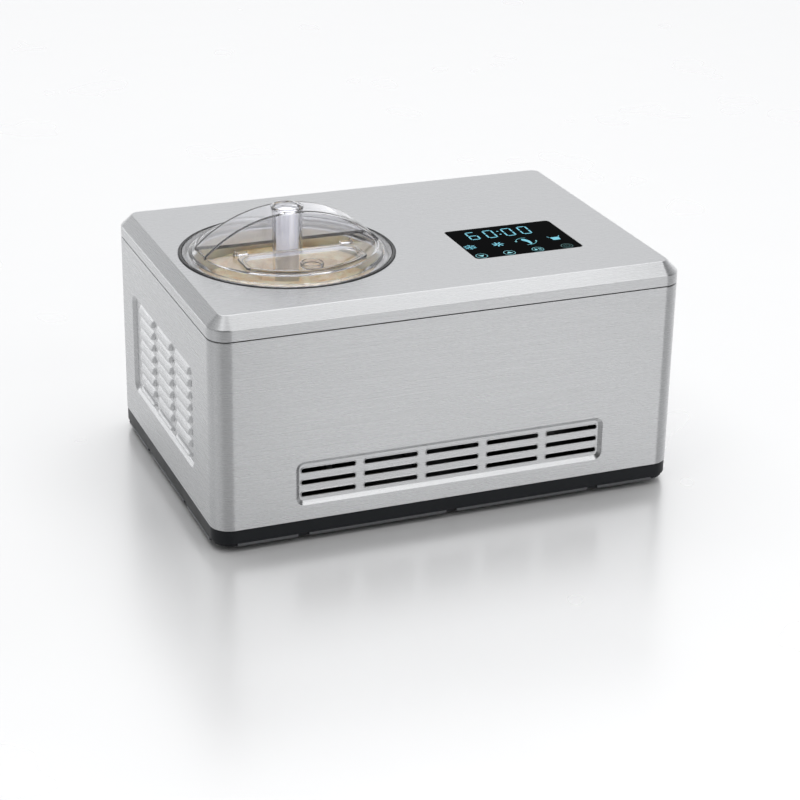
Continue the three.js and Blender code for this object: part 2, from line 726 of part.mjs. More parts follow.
// Insulation round the well, with a notch for the tubes at each end of the coil.
function foamJacket() {
  const top = lipZ - wellWall - gap;
  const bore = 18;
  const notch = (z) => box(30, 34, 18, bowlX + foamOuter - 6, bowlY, z);
  return cut(
    turned(
      [[bore, foamBottomZ], [foamOuter, foamBottomZ], [foamOuter, top], [foamInner, top],
        [foamInner, foamFloorZ], [bore, foamFloorZ]],
      bowlX, bowlY, 24),
    notch(coilStartZ + bowlDepth - 52 - 9),
    notch(coilStartZ - 9),
  );
}

function shaftSeal() {
  const bore = shaftRadius + gap;
  const under = wellFloorZ - wellWall - gap;
  return turned(
    [[bore, under - 1.1], [13, under - 1.1], [13, under], [sealBore - gap, under],
      [sealBore - gap, wellFloorZ + 0.6], [bore, wellFloorZ + 0.6]],
    bowlX, bowlY, 14);
}

// ---------------------------------------------------------------- drive train
// An involute spur gear's outline, with straight chords between three points of each flank.
function gearOutline(teeth, turn) {
  const pressure = (25 * Math.PI) / 180;
  const backlash = 0.4;
  const pitch = (gearModule * teeth) / 2;
  const base = pitch * Math.cos(pressure);
  const tip = pitch + 0.9 * gearModule;
  const root = pitch - 1.2 * gearModule;
  const involute = (angle) => Math.tan(angle) - angle;
  const halfTooth = (r) =>
    Math.PI / (2 * teeth) - backlash / (2 * pitch) + involute(pressure) - involute(Math.acos(Math.min(1, base / r)));
  const start = Math.max(base, root);
  const flank = [start, (start + tip) / 2, tip];
  const points = [];
  for (let i = 0; i < teeth; i += 1) {
    const centre = turn + (2 * Math.PI * i) / teeth;
    const at = (r, side) => {
      const angle = centre + side * halfTooth(Math.max(r, start));
      points.push([r * Math.cos(angle), r * Math.sin(angle)]);
    };
    if (start > root) at(root, -1);
    flank.forEach((r) => at(r, -1));
    [...flank].reverse().forEach((r) => at(r, 1));
    if (start > root) at(root, 1);
  }
  return polygon(points);
}

const driveGear = () =>
  cut(
    prism(gearOutline(gearTeeth, 0), gearWidth, gearZ).translate(bowlX, bowlY, 0),
    rod(shaftRadius + 0.05, 40, bowlX, bowlY, gearZ - 10, 14),
  );

const driveShaft = () =>
  join(
    rod(shaftRadius - 0.1, tubeTopZ - motorTopZ - 2.6 - gap, bowlX, bowlY, motorTopZ + 2.6 + gap, 14),
    rod(shaftRadius - 0.2, shaftReach + 2, bowlX, bowlY, tubeTopZ - 2, 6),
    rod(shaftRadius + 2.6, 1.4, bowlX, bowlY, gearZ - 1.4 - gap, 14),
  );

const motorPinion = () =>
  cut(
    prism(gearOutline(pinionTeeth, Math.PI / pinionTeeth), gearWidth, gearZ),
    rod(3, 40, 0, 0, gearZ - 10, 10),
  ).translate([motorX, bowlY, 0]);

// Two round ends and their tangents, round both gears.
function caseOutline(grow) {
  const big = (gearModule * gearTeeth) / 2 + 4 + grow;
  const small = (gearModule * pinionTeeth) / 2 + 9 + grow;
  const tilt = Math.acos((big - small) / gearDistance);
  const shape = new THREE.Shape();
  shape.absarc(bowlX, bowlY, big, tilt, 2 * Math.PI - tilt, false);
  shape.absarc(motorX, bowlY, small, -tilt, tilt, false);
  return shape;
}

function gearCase() {
  const z = motorTopZ + gap;
  const legs = corners(30, 28, bowlX - 2, bowlY).map(([x, y]) => rod(4, z + 1 - standZ, x, y, standZ, 8));
  return cut(
    join(prism(caseOutline(caseWall), gearCaseTopZ - z, z, 8), ...legs),
    prism(caseOutline(0), 40, z + 2.2, 8),
    rod(8, 30, motorX, bowlY, z - 10, 12),
  );
}

// The case's lid, with a tall boss round the shaft bush.
function gearCaseLid() {
  const z = gearCaseTopZ + gap;
  const bossTop = wellFloorZ - wellWall - 1.4 - gap;
  return cut(
    join(prism(caseOutline(caseWall), caseWall, z, 8), rod(14, bossTop - z, bowlX, bowlY, z, 16)),
    rod(9, 60, bowlX, bowlY, z - 5, 14),
  );
}

function shaftBush() {
  const z = gearCaseTopZ + 1;
  return cut(rod(9 - gap, 13, bowlX, bowlY, z, 14), rod(shaftRadius + gap - 0.05, 40, bowlX, bowlY, z - 5, 14));
}

const driveMotor = () =>
  turned(
    [
      [0, standZ],
      [motorRadius - 2, standZ],
      [motorRadius, standZ + 2],
      [motorRadius, motorTopZ - 2],
      [motorRadius - 2, motorTopZ],
      [7, motorTopZ],
      [7, motorTopZ + 1.6],
      [2.7, motorTopZ + 1.6],
      [2.7, gearZ + gearWidth - 1],
      [0, gearZ + gearWidth - 1],
    ],
    motorX, bowlY, 20);

function buildDrive() {
  add("gearbox_case", gearCase(), greyPlastic);
  add("gearbox_lid", gearCaseLid(), greyPlastic);
  add("drive_motor", driveMotor(), zincPlate);
  add("motor_pinion", motorPinion(), whitePlastic);
  add("drive_gear", driveGear(), whitePlastic);
  add("drive_shaft", driveShaft(), zincPlate);
  add("shaft_bush", shaftBush(), copper);
  add("shaft_seal", shaftSeal(), rubber);
}

// ---------------------------------------------------------------- cooling circuit
const weldZ = compressorZ + 42; // lower face of the seam round the compressor
const compressorTopZ = compressorZ + compressorHeight;

// Upper half of the compressor's steel can, with the charging stub on top.
function compressorShell() {
  const r = compressorRadius;
  const w = compressorSheet;
  const top = compressorTopZ;
  const can = turned(
    [
      [r - w, weldZ + 4],
      [r, weldZ + 4],
      [r, top - 26],
      [r - 10, top - 8],
      [r - 30, top],
      [0, top],
      [0, top - w],
      [r - 31, top - w],
      [r - 12, top - w - 7],
      [r - w, top - 28],
    ],
    compressorX, compressorY, 20);
  return join(can, rod(2.6, 16, compressorX + 12, compressorY, top - 1, 8));
}

const grommetPlaces = corners(46, 35, compressorX, compressorY);

const pumpLift = 12; // the pump above the can's floor

// Lower half of the can, on its foot plate, with four spring posts inside that carry the pump.
function compressorSump() {
  const r = compressorRadius;
  const z = compressorZ;
  const w = compressorSheet;
  const dish = turned(
    [[0, z], [r - 14, z], [r, z + 16], [r, weldZ], [r + 3, weldZ], [r + 3, weldZ + 3.6], [r - w, weldZ + 3.6],
      [r - w, z + 17], [r - 15, z + w], [0, z + w]],
    compressorX, compressorY, 20);
  const plate = prism(roundRect(106, 84, 8, compressorX, compressorY), 2.4, z - 2.2, 2);
  const springs = corners(18, 18, compressorX, compressorY).map(([x, y]) =>
    rod(4, pumpLift - w - gap + 0.5, x, y, z + w - 0.5, 8));
  const bores = grommetPlaces.map(([x, y]) => rod(3.2, 12, x, y, z - 8, 10));
  return cut(join(dish, plate, ...springs), ...bores);
}

const grommet = (x, y) =>
  turned(
    [[0, standZ], [6.5, standZ], [6.5, compressorZ - 2.2 - gap], [2.8, compressorZ - 2.2 - gap],
      [2.8, compressorZ + 1.2], [0, compressorZ + 1.2]],
    x, y, 10);

function compressorPump() {
  const z = compressorZ + pumpLift;
  return turned(
    [[0, z], [30, z], [40, z + 6], [40, z + 62], [28, z + 68], [28, z + 92], [0, z + 92]],
    compressorX, compressorY, 14);
}

const terminalBox = () =>
  box(34, 16, 30, compressorX - 8, compressorY + compressorRadius + 9, compressorZ + 60);

// The condenser: fins on two spines, notched where the coil runs cross them.
const runPitch = fanSize / coilRuns;
const runX = condenserX - condenserThickness / 2 + lineRadius + 1;
const runHalf = fanSize / 2 + 1;
const runLevels = Array.from({ length: coilRuns }, (_, i) => coolingZ + (i - (coilRuns - 1) / 2) * runPitch);

function condenserFins() {
  const span = fanSize - 6;
  const fins = Array.from({ length: finCount }, (_, i) => {
    const y = coolingY - span / 2 + (i * span) / (finCount - 1);
    return box(condenserThickness, 1, fanSize, condenserX, y, coolingZ - fanSize / 2);
  });
  const spines = [-1, 1].map((s) =>
    box(2, span, 4, condenserX + condenserThickness / 2 - 1, coolingY, coolingZ + s * (fanSize / 2 - 3) - 2));
  const notch = 2 * lineRadius + 4 * gap;
  const notches = runLevels.map((z) => box(2 * notch, fanSize + 4, notch, runX - notch / 2, coolingY, z - notch / 2));
  return cut(join(...fins, ...spines), ...notches);
}

function condenserCoil() {
  const points = [];
  runLevels.forEach((z, i) => {
    const s = i % 2 ? 1 : -1;
    points.push([runX, coolingY + s * runHalf, z], [runX, coolingY + s * (runHalf - 8), z]);
    points.push([runX, coolingY - s * (runHalf - 8), z], [runX, coolingY - s * runHalf, z]);
    if (i < coilRuns - 1) points.push([runX, coolingY - s * (runHalf + runPitch / 2 - 1), z + runPitch / 2]);
  });
  return pipe(points, lineRadius, 78);
}

const bladeTip = fanSize / 2 - 5;

function fanShroud() {
  const face = roundRect(fanSize, fanSize, 6);
  face.holes.push(disc(bladeTip + 2));
  const front = fanX - fanThickness / 2;
  const ring = prism(face, fanThickness, -fanThickness / 2, 10)
    .rotateY(Math.PI / 2)
    .translate(fanX, coolingY, coolingZ);
  const struts = [0, 1, 2].map((i) =>
    box(3, 5, bladeTip - 6, 0, 0, 10).rotateX((i * 2 * Math.PI) / 3).translate(front + 1.5, coolingY, coolingZ));
  return join(ring, ...struts, rodX(14, 3, front, coolingY, coolingZ, 14));
}

const fanMotor = () => rodX(12, 2.6, fanX - fanThickness / 2 + 3 + gap, coolingY, coolingZ, 14);

function fanRotor() {
  const bladeCount = 7;
  const blades = Array.from({ length: bladeCount }, (_, i) =>
    box(1.6, 17, bladeTip - 16, 0, 0, 14)
      .rotateZ(0.7)
      .rotateX((i * 2 * Math.PI) / bladeCount)
      .translate(fanX + 0.5, coolingY, coolingZ));
  return join(rodX(16, 12, fanX - 5.5, coolingY, coolingZ, 14), ...blades);
}

const drierX = bowlX + foamOuter + 20;
const drierY = depth / 2 - 50;
const drierZ = 60;
const drierHeight = 72;
const filterDrier = () =>
  turned(
    [[0, drierZ], [2.4, drierZ], [8.5, drierZ + 10], [8.5, drierZ + drierHeight - 10], [2.4, drierZ + drierHeight],
      [0, drierZ + drierHeight]],
    drierX, drierY, 10);

// Discharge, liquid, capillary and suction lines, each from fitting to fitting.
function refrigerantLines() {
  const side = compressorX + compressorRadius;
  const frontRun = coolingY - runHalf;
  const lastZ = runLevels[coilRuns - 1];
  const firstZ = runLevels[0];
  const coilEnd = bowlX + foamOuter - 8;
  const upperZ = coilStartZ + coilPitch * coilTurns;
  const dropX = compressorX - compressorRadius;
  return {
    discharge_line: pipe(
      [[side + 1.5, compressorY, weldZ + 30], [side + 12, compressorY + 6, weldZ + 32],
        [side + 14, frontRun - 34, weldZ + 44], [runX, frontRun - 12, lastZ], [runX, frontRun - 0.8, lastZ]],
      2.4, 20),
    liquid_line: pipe(
      [[runX, frontRun - 0.8, firstZ], [runX, frontRun - 6, firstZ], [runX - 12, frontRun - 12, firstZ],
        [runX - 48, frontRun - 10, firstZ], [fanX - 36, coolingY - 34, firstZ + 2], [drierX + 24, drierY - 8, 34],
        [drierX, drierY, 42], [drierX, drierY, drierZ - 0.6]],
      2.4, 28),
    capillary_tube: pipe(
      [[drierX, drierY, drierZ + drierHeight + 0.6], [drierX, drierY - 2, drierZ + drierHeight + 18],
        [drierX - 4, drierY - 30, upperZ + 8], [drierX - 10, bowlY + 40, upperZ + 2],
        [coilEnd + 10, bowlY + 8, upperZ], [coilEnd - 2, bowlY, upperZ]],
      1.2, 22),
    suction_line: pipe(
      [[coilEnd - 2, bowlY, coilStartZ], [coilEnd + 8, bowlY - 2, coilStartZ], [dropX - 18, compressorY + 30, weldZ + 20],
        [dropX - 12, compressorY, weldZ + 22], [dropX - 0.8, compressorY, weldZ + 22]],
      3, 20),
  };
}

function buildCooling() {
  add("evaporator_well", evaporatorWell(), aluminium);
  add("evaporator_coil", evaporatorCoil(), copper);
  add("foam_jacket", foamJacket(), foam);
  add("compressor_shell", compressorShell(), blackPaint);
  add("compressor_sump", compressorSump(), blackPaint);
  add("compressor_pump", compressorPump(), zincPlate);
  add("compressor_terminal_box", terminalBox(), blackPlastic);
  grommetPlaces.forEach(([x, y, corner]) => add(`grommet_${corner}`, grommet(x, y), rubber));
  add("condenser_fins", condenserFins(), aluminium);
  add("condenser_coil", condenserCoil(), copper);
  add("fan_shroud", fanShroud(), blackPlastic);
  add("fan_motor", fanMotor(), blackPlastic);
  add("fan_rotor", fanRotor(), blackPlastic);
  add("filter_drier", filterDrier(), copper);
  Object.entries(refrigerantLines()).forEach(([name, line]) => add(name, line, copper));
}

// ---------------------------------------------------------------- touch panel and electronics
const glassZ = topZ - 0.1 - glassThickness;
const bezelZ = glassZ - gap - bezelHeight;
const boardZ = bezelZ - gap - boardThickness;
const powerX = drierX - 42.9;
const powerY = depth / 2 - 30;

const controlGlass = () =>
  prism(roundRect(panelWidth - 2 * gap, panelDepth - 2 * gap, 3.6, panelX, panelY), glassThickness, glassZ, 3);

// A light guide under the glass, with a pocket from below for the digit module.
function displayBezel() {
  const w = panelWidth + 2 * bezelMargin;
  const d = panelDepth + 2 * bezelMargin;
  return cut(
    prism(roundRect(w, d, 5.6, panelX, panelY), bezelHeight, bezelZ, 2),
    box(66, 24, 5, panelX - 8, panelY + 16, bezelZ - 1),
  );
}

const displayBoard = () =>
  join(
    box(panelWidth, panelDepth, boardThickness, panelX, panelY, boardZ),
    box(62, 20, 3.4, panelX - 8, panelY + 16, boardZ + boardThickness - 0.2),
    box(18, 12, 3, panelX + 20, panelY - 20, boardZ - 2.9),
  );

// A circuit board that stands on edge in its bracket, with a transformer, a coil, a relay and a plug block.
const powerBoard = () =>
  join(
    box(110, boardThickness, 74, powerX, powerY, floorZ + 22),
    box(26, 18, 22, powerX - 34, powerY - 9.5, floorZ + 30),
    box(16, 15, 18, powerX + 6, powerY - 8, floorZ + 58),
    box(34, 12, 12, powerX + 32, powerY - 6.5, floorZ + 30),
  );

const boardBracket = () =>
  join(
    box(118, 14, boardThickness, powerX, powerY - 4, standZ),
    ...[-1, 1].map((s) => box(3, 6, 92, powerX + s * 57, powerY, standZ)),
  );

function displayCable() {
  const plugX = panelX - 18;
  const plugY = panelY + 26;
  return pipe(
    [[powerX + 44, powerY, floorZ + 96.6], [powerX + 46, powerY - 4, floorZ + 118], [plugX - 10, plugY + 70, boardZ - 34],
      [plugX - 2, plugY + 14, boardZ - 26], [plugX, plugY, boardZ - 12], [plugX, plugY, boardZ - gap]],
    2, 26);
}

const cordGland = () =>
  cut(
    join(
      rodY(glandRadius + 3, 1.8, glandX, rearPanelY + sheet + gap / 3, glandZ, 18),
      rodY(glandRadius - 0.2, sheet + 12, glandX, rearPanelY - 11, glandZ, 18),
    ),
    rodY(cordRadius, 40, glandX, rearPanelY - 20, glandZ, 14),
  );

const glandNut = () =>
  cut(
    rodY(glandRadius + 4, 4, glandX, rearPanelY - 4 - gap, glandZ, 6),
    rodY(glandRadius + 0.1, 12, glandX, rearPanelY - 8, glandZ, 18),
  );

function buildElectronics() {
  add("control_glass", controlGlass(), blackGlass);
  add("display_bezel", displayBezel(), blackPlastic);
  add("display_board", displayBoard(), boardGreen);
  add("power_board", powerBoard(), boardGreen);
  add("board_bracket", boardBracket(), zincPlate);
  add("display_cable", displayCable(), blackPlastic);
  add("cord_gland", cordGland(), blackPlastic);
  add("cord_gland_nut", glandNut(), blackPlastic);
}

buildHousing();
buildCooling();
buildDrive();
buildBowlAndLid();
buildElectronics();

export default machine;
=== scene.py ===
"""An ice cream maker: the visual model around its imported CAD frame, with floor, light and camera."""

import json
import math

import bmesh
import bpy
from mathutils import Matrix, Vector, noise
from mathutils.geometry import tessellate_polygon


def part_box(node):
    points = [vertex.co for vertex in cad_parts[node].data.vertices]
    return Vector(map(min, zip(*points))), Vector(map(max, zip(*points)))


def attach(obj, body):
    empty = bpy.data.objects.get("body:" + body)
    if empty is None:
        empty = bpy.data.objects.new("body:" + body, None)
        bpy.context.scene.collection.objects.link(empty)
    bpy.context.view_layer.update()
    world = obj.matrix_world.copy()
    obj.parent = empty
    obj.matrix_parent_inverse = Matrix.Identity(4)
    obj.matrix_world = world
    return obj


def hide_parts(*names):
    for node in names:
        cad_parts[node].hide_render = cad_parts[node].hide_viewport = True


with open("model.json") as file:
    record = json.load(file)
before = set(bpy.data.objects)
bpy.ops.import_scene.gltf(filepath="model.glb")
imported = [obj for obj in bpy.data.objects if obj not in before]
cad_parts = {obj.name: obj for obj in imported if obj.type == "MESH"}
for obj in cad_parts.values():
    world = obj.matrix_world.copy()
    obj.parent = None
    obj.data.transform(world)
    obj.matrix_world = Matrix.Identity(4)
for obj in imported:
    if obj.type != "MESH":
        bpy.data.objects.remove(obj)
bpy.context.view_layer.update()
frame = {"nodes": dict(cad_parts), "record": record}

MM = 0.001
WELD = 0.002  # vertices closer than this, in mm, become one


# ---------------------------------------------------------------- places taken from the CAD nodes, in mm
def extent(node):
    low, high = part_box(node)
    return low / MM, high / MM


WRAP_LOW, WRAP_HIGH = extent("housing_wrap")
COVER_LOW, COVER_HIGH = extent("top_cover")
TRAY_LOW, TRAY_HIGH = extent("base_tray")
RING_LOW, RING_HIGH = extent("bowl_seat_ring")
LID_LOW, LID_HIGH = extent("lid_dome")
CAP_LOW, CAP_HIGH = extent("refill_cap")
BOWL_LOW, BOWL_HIGH = extent("ice_bowl")
PADDLE_LOW, PADDLE_HIGH = extent("mixing_paddle")
GLASS_LOW, GLASS_HIGH = extent("control_glass")
PANEL_LOW, PANEL_HIGH = extent("rear_panel")
GLAND_LOW, GLAND_HIGH = extent("cord_gland")

W = WRAP_HIGH.x - WRAP_LOW.x
D = WRAP_HIGH.y - WRAP_LOW.y
CORNER = 17.5
CHAMFER = 10
TOP = COVER_HIGH.z
AXIS_X = (RING_LOW.x + RING_HIGH.x) / 2
AXIS_Y = (RING_LOW.y + RING_HIGH.y) / 2
LID_R = (LID_HIGH.x - LID_LOW.x) / 2
OPENING_R = (RING_HIGH.x - RING_LOW.x) / 2 + 0.6
FLANGE_TOP = TOP + 0.5
CROWN_TOP = FLANGE_TOP + 6
CROWN_R = LID_R - 12
RIM = TOP - 7
VENT_Z = WRAP_LOW.z + 34
LOUVRE_Z = WRAP_LOW.z + 79


# ---------------------------------------------------------------- outlines
def arc(x, y, r, start, end, steps):
    """Points on an arc, from one angle to another, in degrees."""
    turns = [math.radians(start + (end - start) * i / steps) for i in range(steps + 1)]
    return [(x + r * math.cos(a), y + r * math.sin(a)) for a in turns]


def round_rect(w, d, r, x=0, y=0, steps=10):
    r = max(r, 0.01)
    return [
        p
        for sx, sy, start in ((1, -1, -90), (1, 1, 0), (-1, 1, 90), (-1, -1, 180))
        for p in arc(x + sx * (w / 2 - r), y + sy * (d / 2 - r), r, start, start + 90, steps)
    ]


def circle(r, x=0, y=0, steps=96):
    return arc(x, y, r, 0, 360 - 360 / steps, steps - 1)


def filleted(points, steps=5):
    """A polyline of (a, b, radius) rows, with each corner rounded by its radius."""
    made = [points[0][:2]]
    for (ax, ay, _), (bx, by, r), (cx, cy, _) in zip(points, points[1:], points[2:]):
        b = Vector((bx, by))
        to_a, to_c = (Vector((ax, ay)) - b), (Vector((cx, cy)) - b)
        half = to_a.angle(to_c) / 2
        reach = min(r / math.tan(half), 0.49 * to_a.length, 0.49 * to_c.length) if r else 0
        if reach < 1e-6:
            made.append((bx, by))
            continue
        start, end = b + to_a.normalized() * reach, b + to_c.normalized() * reach
        for i in range(steps + 1):
            t = i / steps
            q = start.lerp(b, t).lerp(b.lerp(end, t), t)
            made.append((q.x, q.y))
    return made + [points[-1][:2]]


# ---------------------------------------------------------------- mesh building
class Skin:
    """Points in mm and faces, which become one mesh. Faces take the material number that is set when they are made."""

    def __init__(self):
        self.points, self.faces, self.numbers, self.material = [], [], [], 0

    def row(self, points):
        first = len(self.points)
        self.points += [tuple(p) for p in points]
        return list(range(first, len(self.points)))

    def face(self, indices):
        self.faces.append(tuple(indices))
        self.numbers.append(self.material)

    def bridge(self, a, b, closed=True):
        count = len(a) if closed else len(a) - 1
        for i in range(count):
            j = (i + 1) % len(a)
            self.face((a[i], a[j], b[j], b[i]))

    def loft(self, rows, closed=True, ends=False, around=False):
        """Quads between rows of points. ends closes both ends with a face, around joins the last row to the first."""
        made = [self.row(r) for r in rows]
        for a, b in zip(made, made[1:]):
            self.bridge(a, b, closed)
        if around:
            self.bridge(made[-1], made[0], closed)
        if ends:
            self.face(made[0][::-1])
            self.face(made[-1])
        return made

    def fill(self, loops, place):
        """A flat sheet inside the first outline and outside the others. place turns (u, v) into a point."""
        flat = [p for loop in loops for p in loop]
        first = self.row(place(u, v) for u, v in flat)
        for triangle in tessellate_polygon([[Vector((u, v, 0)) for u, v in loop] for loop in loops]):
            self.face([first[i] for i in triangle])


def smooth(mesh, sharp):
    mesh.shade_smooth()
    mesh.set_sharp_from_angle(angle=math.radians(sharp))


def into_scene(mesh, name, materials, body, slot=None, replaces=(), sharp=35):
    piece = bpy.data.objects.new(name, mesh)
    bpy.context.scene.collection.objects.link(piece)
    mesh.materials.clear()
    for material in materials:
        mesh.materials.append(material)
    smooth(mesh, sharp)
    modifier = piece.modifiers.new("even_normals", "WEIGHTED_NORMAL")
    modifier.keep_sharp = True
    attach(piece, body)
    if replaces:
        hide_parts(*replaces)
    return piece


def mesh_of(skin, name):
    mesh = bpy.data.meshes.new(name)
    mesh.from_pydata([tuple(c * MM for c in p) for p in skin.points], [], skin.faces)
    mesh.polygons.foreach_set("material_index", skin.numbers)
    work = bmesh.new()
    work.from_mesh(mesh)
    bmesh.ops.remove_doubles(work, verts=work.verts, dist=WELD * MM)
    bmesh.ops.recalc_face_normals(work, faces=work.faces)
    work.to_mesh(mesh)
    work.free()
    return mesh


def brush_direction(mesh):
    """A map in metres whose first axis runs along the brushing: level on the walls, along x on top."""
    layer = mesh.uv_layers.new(name="brush")
    for polygon in mesh.polygons:
        n = polygon.normal
        for loop in polygon.loop_indices:
            x, y, z = mesh.vertices[mesh.loops[loop].vertex_index].co
            if abs(n.z) > 0.9:
                layer.data[loop].uv = (x, y)
            elif abs(n.x) > abs(n.y):
                layer.data[loop].uv = (y, z)
            else:
                layer.data[loop].uv = (x, z)


def add(name, skin, materials, body, **settings):
    mesh = mesh_of(skin, name)
    if materials[0] == brushed_steel:
        brush_direction(mesh)
    return into_scene(mesh, name, materials, body, **settings)


def lathe(profile, steps=112, x=None, y=None, closed=True, skin=None):
    """A (radius, z) profile turned about the bowl's axis, or about another upright axis."""
    x, y = AXIS_X if x is None else x, AXIS_Y if y is None else y
    skin = skin or Skin()
    rows = [[(px, py, z) for px, py in circle(max(r, 0.001), x, y, steps)] for r, z in profile]
    skin.loft(rows, around=closed)
    return skin


def combined(parts, operation, name):
    """One mesh from several: the first with each of the others joined to it or cut from it."""
    base = bpy.data.objects.new(name, parts[0])
    bpy.context.scene.collection.objects.link(base)
    tools = []
    for mesh in parts[1:]:
        tool = bpy.data.objects.new(name + "_tool", mesh)
        bpy.context.scene.collection.objects.link(tool)
        tools.append(tool)
        step = base.modifiers.new("step", "BOOLEAN")
        step.operation, step.object, step.solver = operation, tool, "MANIFOLD"
    bpy.context.view_layer.update()
    evaluated = base.evaluated_get(bpy.context.evaluated_depsgraph_get())
    mesh = bpy.data.meshes.new_from_object(evaluated)
    for gone in [base, *tools]:
        bpy.data.objects.remove(gone)
    return mesh


# ---------------------------------------------------------------- materials
def new_material(name):
    material = bpy.data.materials.new(name)
    material.use_nodes = True
    tree = material.node_tree
    return material, tree, tree.nodes["Principled BSDF"]


def node(tree, kind, inputs=(), **settings):
    made = tree.nodes.new(kind)
    for key, value in settings.items():
        setattr(made, key, value)
    for key, value in dict(inputs).items():
        if isinstance(value, bpy.types.NodeSocket):
            tree.links.new(value, made.inputs[key])
        else:
            made.inputs[key].default_value = value
    return made


def position(tree, scale):
    """The object's own coordinates, stretched by scale."""
    place = node(tree, "ShaderNodeTexCoord")
    return node(tree, "ShaderNodeMapping", {"Vector": place.outputs["Object"], "Scale": scale}).outputs[0]


def grain(tree, scale, detail=2, size=1.0):
    """Noise from 0 to 1 over the object's own coordinates."""
    return node(
        tree, "ShaderNodeTexNoise", {"Vector": position(tree, scale), "Scale": size, "Detail": detail, "Roughness": 0.6}
    ).outputs["Fac"]


def ramp(tree, factor, low, high, start=0.0, end=1.0):
    """A number that goes from low to high as factor goes from start to end."""
    return node(
        tree, "ShaderNodeMapRange",
        {"Value": factor, "From Min": start, "From Max": end, "To Min": low, "To Max": high},
    ).outputs[0]


def mix_shades(tree, factor, dark, light):
    mix = tree.nodes.new("ShaderNodeMix")
    mix.data_type = "RGBA"
    tree.links.new(factor, mix.inputs[0])
    mix.inputs[6].default_value = (*dark, 1)
    mix.inputs[7].default_value = (*light, 1)
    return mix.outputs[2]


def bump(tree, shader, height, strength, distance):
    made = node(tree, "ShaderNodeBump", {"Height": height, "Strength": strength, "Distance": distance * MM})
    tree.links.new(made.outputs[0], shader.inputs["Normal"])


def brushed(name, dark, light, rough):
    """Brushed steel: long fine streaks along the first axis of the brush map, and gloss drawn out across them."""
    material, tree, shader = new_material(name)
    brush = node(tree, "ShaderNodeUVMap", uv_map="brush").outputs[0]

    def streaks(along, across, detail):
        place = node(tree, "ShaderNodeMapping", {"Vector": brush, "Scale": (along, across, 1)}).outputs[0]
        return node(
            tree, "ShaderNodeTexNoise", {"Vector": place, "Scale": 1, "Detail": detail, "Roughness": 0.7}
        ).outputs["Fac"]

    fine, broad = streaks(30, 5200, 3), streaks(6, 900, 3)
    both = node(tree, "ShaderNodeMath", {0: fine, 1: broad}, operation="ADD").outputs[0]
    tree.links.new(mix_shades(tree, ramp(tree, both, 0, 1, 0.7, 1.3), dark, light), shader.inputs["Base Color"])
    tree.links.new(ramp(tree, both, rough[1], rough[0], 0.7, 1.3), shader.inputs["Roughness"])
    shader.inputs["Metallic"].default_value = 1
    shader.inputs["Anisotropic"].default_value = 0.75
    shader.inputs["Anisotropic Rotation"].default_value = 0.25
    tangent = node(tree, "ShaderNodeTangent", direction_type="UV_MAP", uv_map="brush")
    tree.links.new(tangent.outputs[0], shader.inputs["Tangent"])
    bump(tree, shader, fine, 0.04, 0.012)
    return material


def moulded(name, colour, rough=(0.4, 0.52), size=900, depth=0.03, strength=0.25, metal=0.0, spread=0.25):
    """Moulded plastic, rubber, foam or cast metal: a fine grain in bump, shade and gloss."""
    material, tree, shader = new_material(name)
    fine = grain(tree, (size,) * 3, detail=3)
    broad = grain(tree, (size * 0.03,) * 3, detail=2)
    dark = tuple(c * (1 - spread) for c in colour)
    tree.links.new(mix_shades(tree, broad, dark, colour), shader.inputs["Base Color"])
    tree.links.new(ramp(tree, broad, *rough, 0.3, 0.7), shader.inputs["Roughness"])
    shader.inputs["Metallic"].default_value = metal
    bump(tree, shader, fine, strength, depth)
    return material


def clear(name, tint, rough=0.02, weight=1.0):
    """Clear plastic with faint moulding waves and slight haze."""
    material, tree, shader = new_material(name)
    shader.inputs["Base Color"].default_value = (*tint, 1)
    shader.inputs["IOR"].default_value = 1.49
    shader.inputs["Transmission Weight"].default_value = weight
    waves = grain(tree, (30, 30, 30), detail=2)
    tree.links.new(ramp(tree, waves, rough, rough * 2.2, 0.3, 0.7), shader.inputs["Roughness"])
    bump(tree, shader, waves, 0.05, 0.4)
    return material


def glowing(name, colour, strength):
    material, tree, shader = new_material(name)
    shader.inputs["Base Color"].default_value = (*(0.3 * c for c in colour), 1)
    shader.inputs["Emission Color"].default_value = (*colour, 1)
    cells = grain(tree, (260, 260, 260), detail=1)
    tree.links.new(ramp(tree, cells, 0.9 * strength, 1.1 * strength, 0.3, 0.7), shader.inputs["Emission Strength"])
    return material


brushed_steel = brushed("brushed_steel", (0.485, 0.49, 0.498), (0.535, 0.54, 0.548), rough=(0.25, 0.30))
base_black = moulded("black_base", (0.010, 0.012, 0.015), rough=(0.34, 0.46), spread=0.2)
ring_black = moulded("black_ring", (0.02, 0.021, 0.023), rough=(0.16, 0.24), strength=0.08, spread=0.2)
base_black.node_tree.nodes["Principled BSDF"].inputs["Specular IOR Level"].default_value = 0.2
# Near-black painted shade: faces that close the louvre slits, where only the dark inside would show.
vent_painted_shade = moulded("vent_shadow", (0.006, 0.006, 0.007), rough=(0.7, 0.9))
rubber = moulded("foot_rubber", (0.025, 0.025, 0.027), rough=(0.7, 0.85), strength=0.35)
inner_plastic = moulded("black_plastic", (0.03, 0.031, 0.033))
frame_grey = moulded("grey_frame", (0.36, 0.37, 0.38))
zinc = moulded("zinc_plate", (0.62, 0.63, 0.62), rough=(0.32, 0.48), size=500, metal=1.0, strength=0.1)
bowl_metal = moulded(
    "bowl_aluminium", (0.72, 0.73, 0.74), rough=(0.28, 0.36), size=1500, metal=1.0, strength=0.06, spread=0.08
)
copper = moulded("copper_tube", (0.72, 0.38, 0.22), rough=(0.28, 0.45), size=300, metal=1.0, strength=0.08)
foam = moulded("insulating_foam", (0.6, 0.53, 0.36), rough=(0.85, 0.95), size=500, depth=0.3, strength=0.6)
black_paint = moulded("compressor_paint", (0.02, 0.02, 0.022), rough=(0.25, 0.4), strength=0.12)
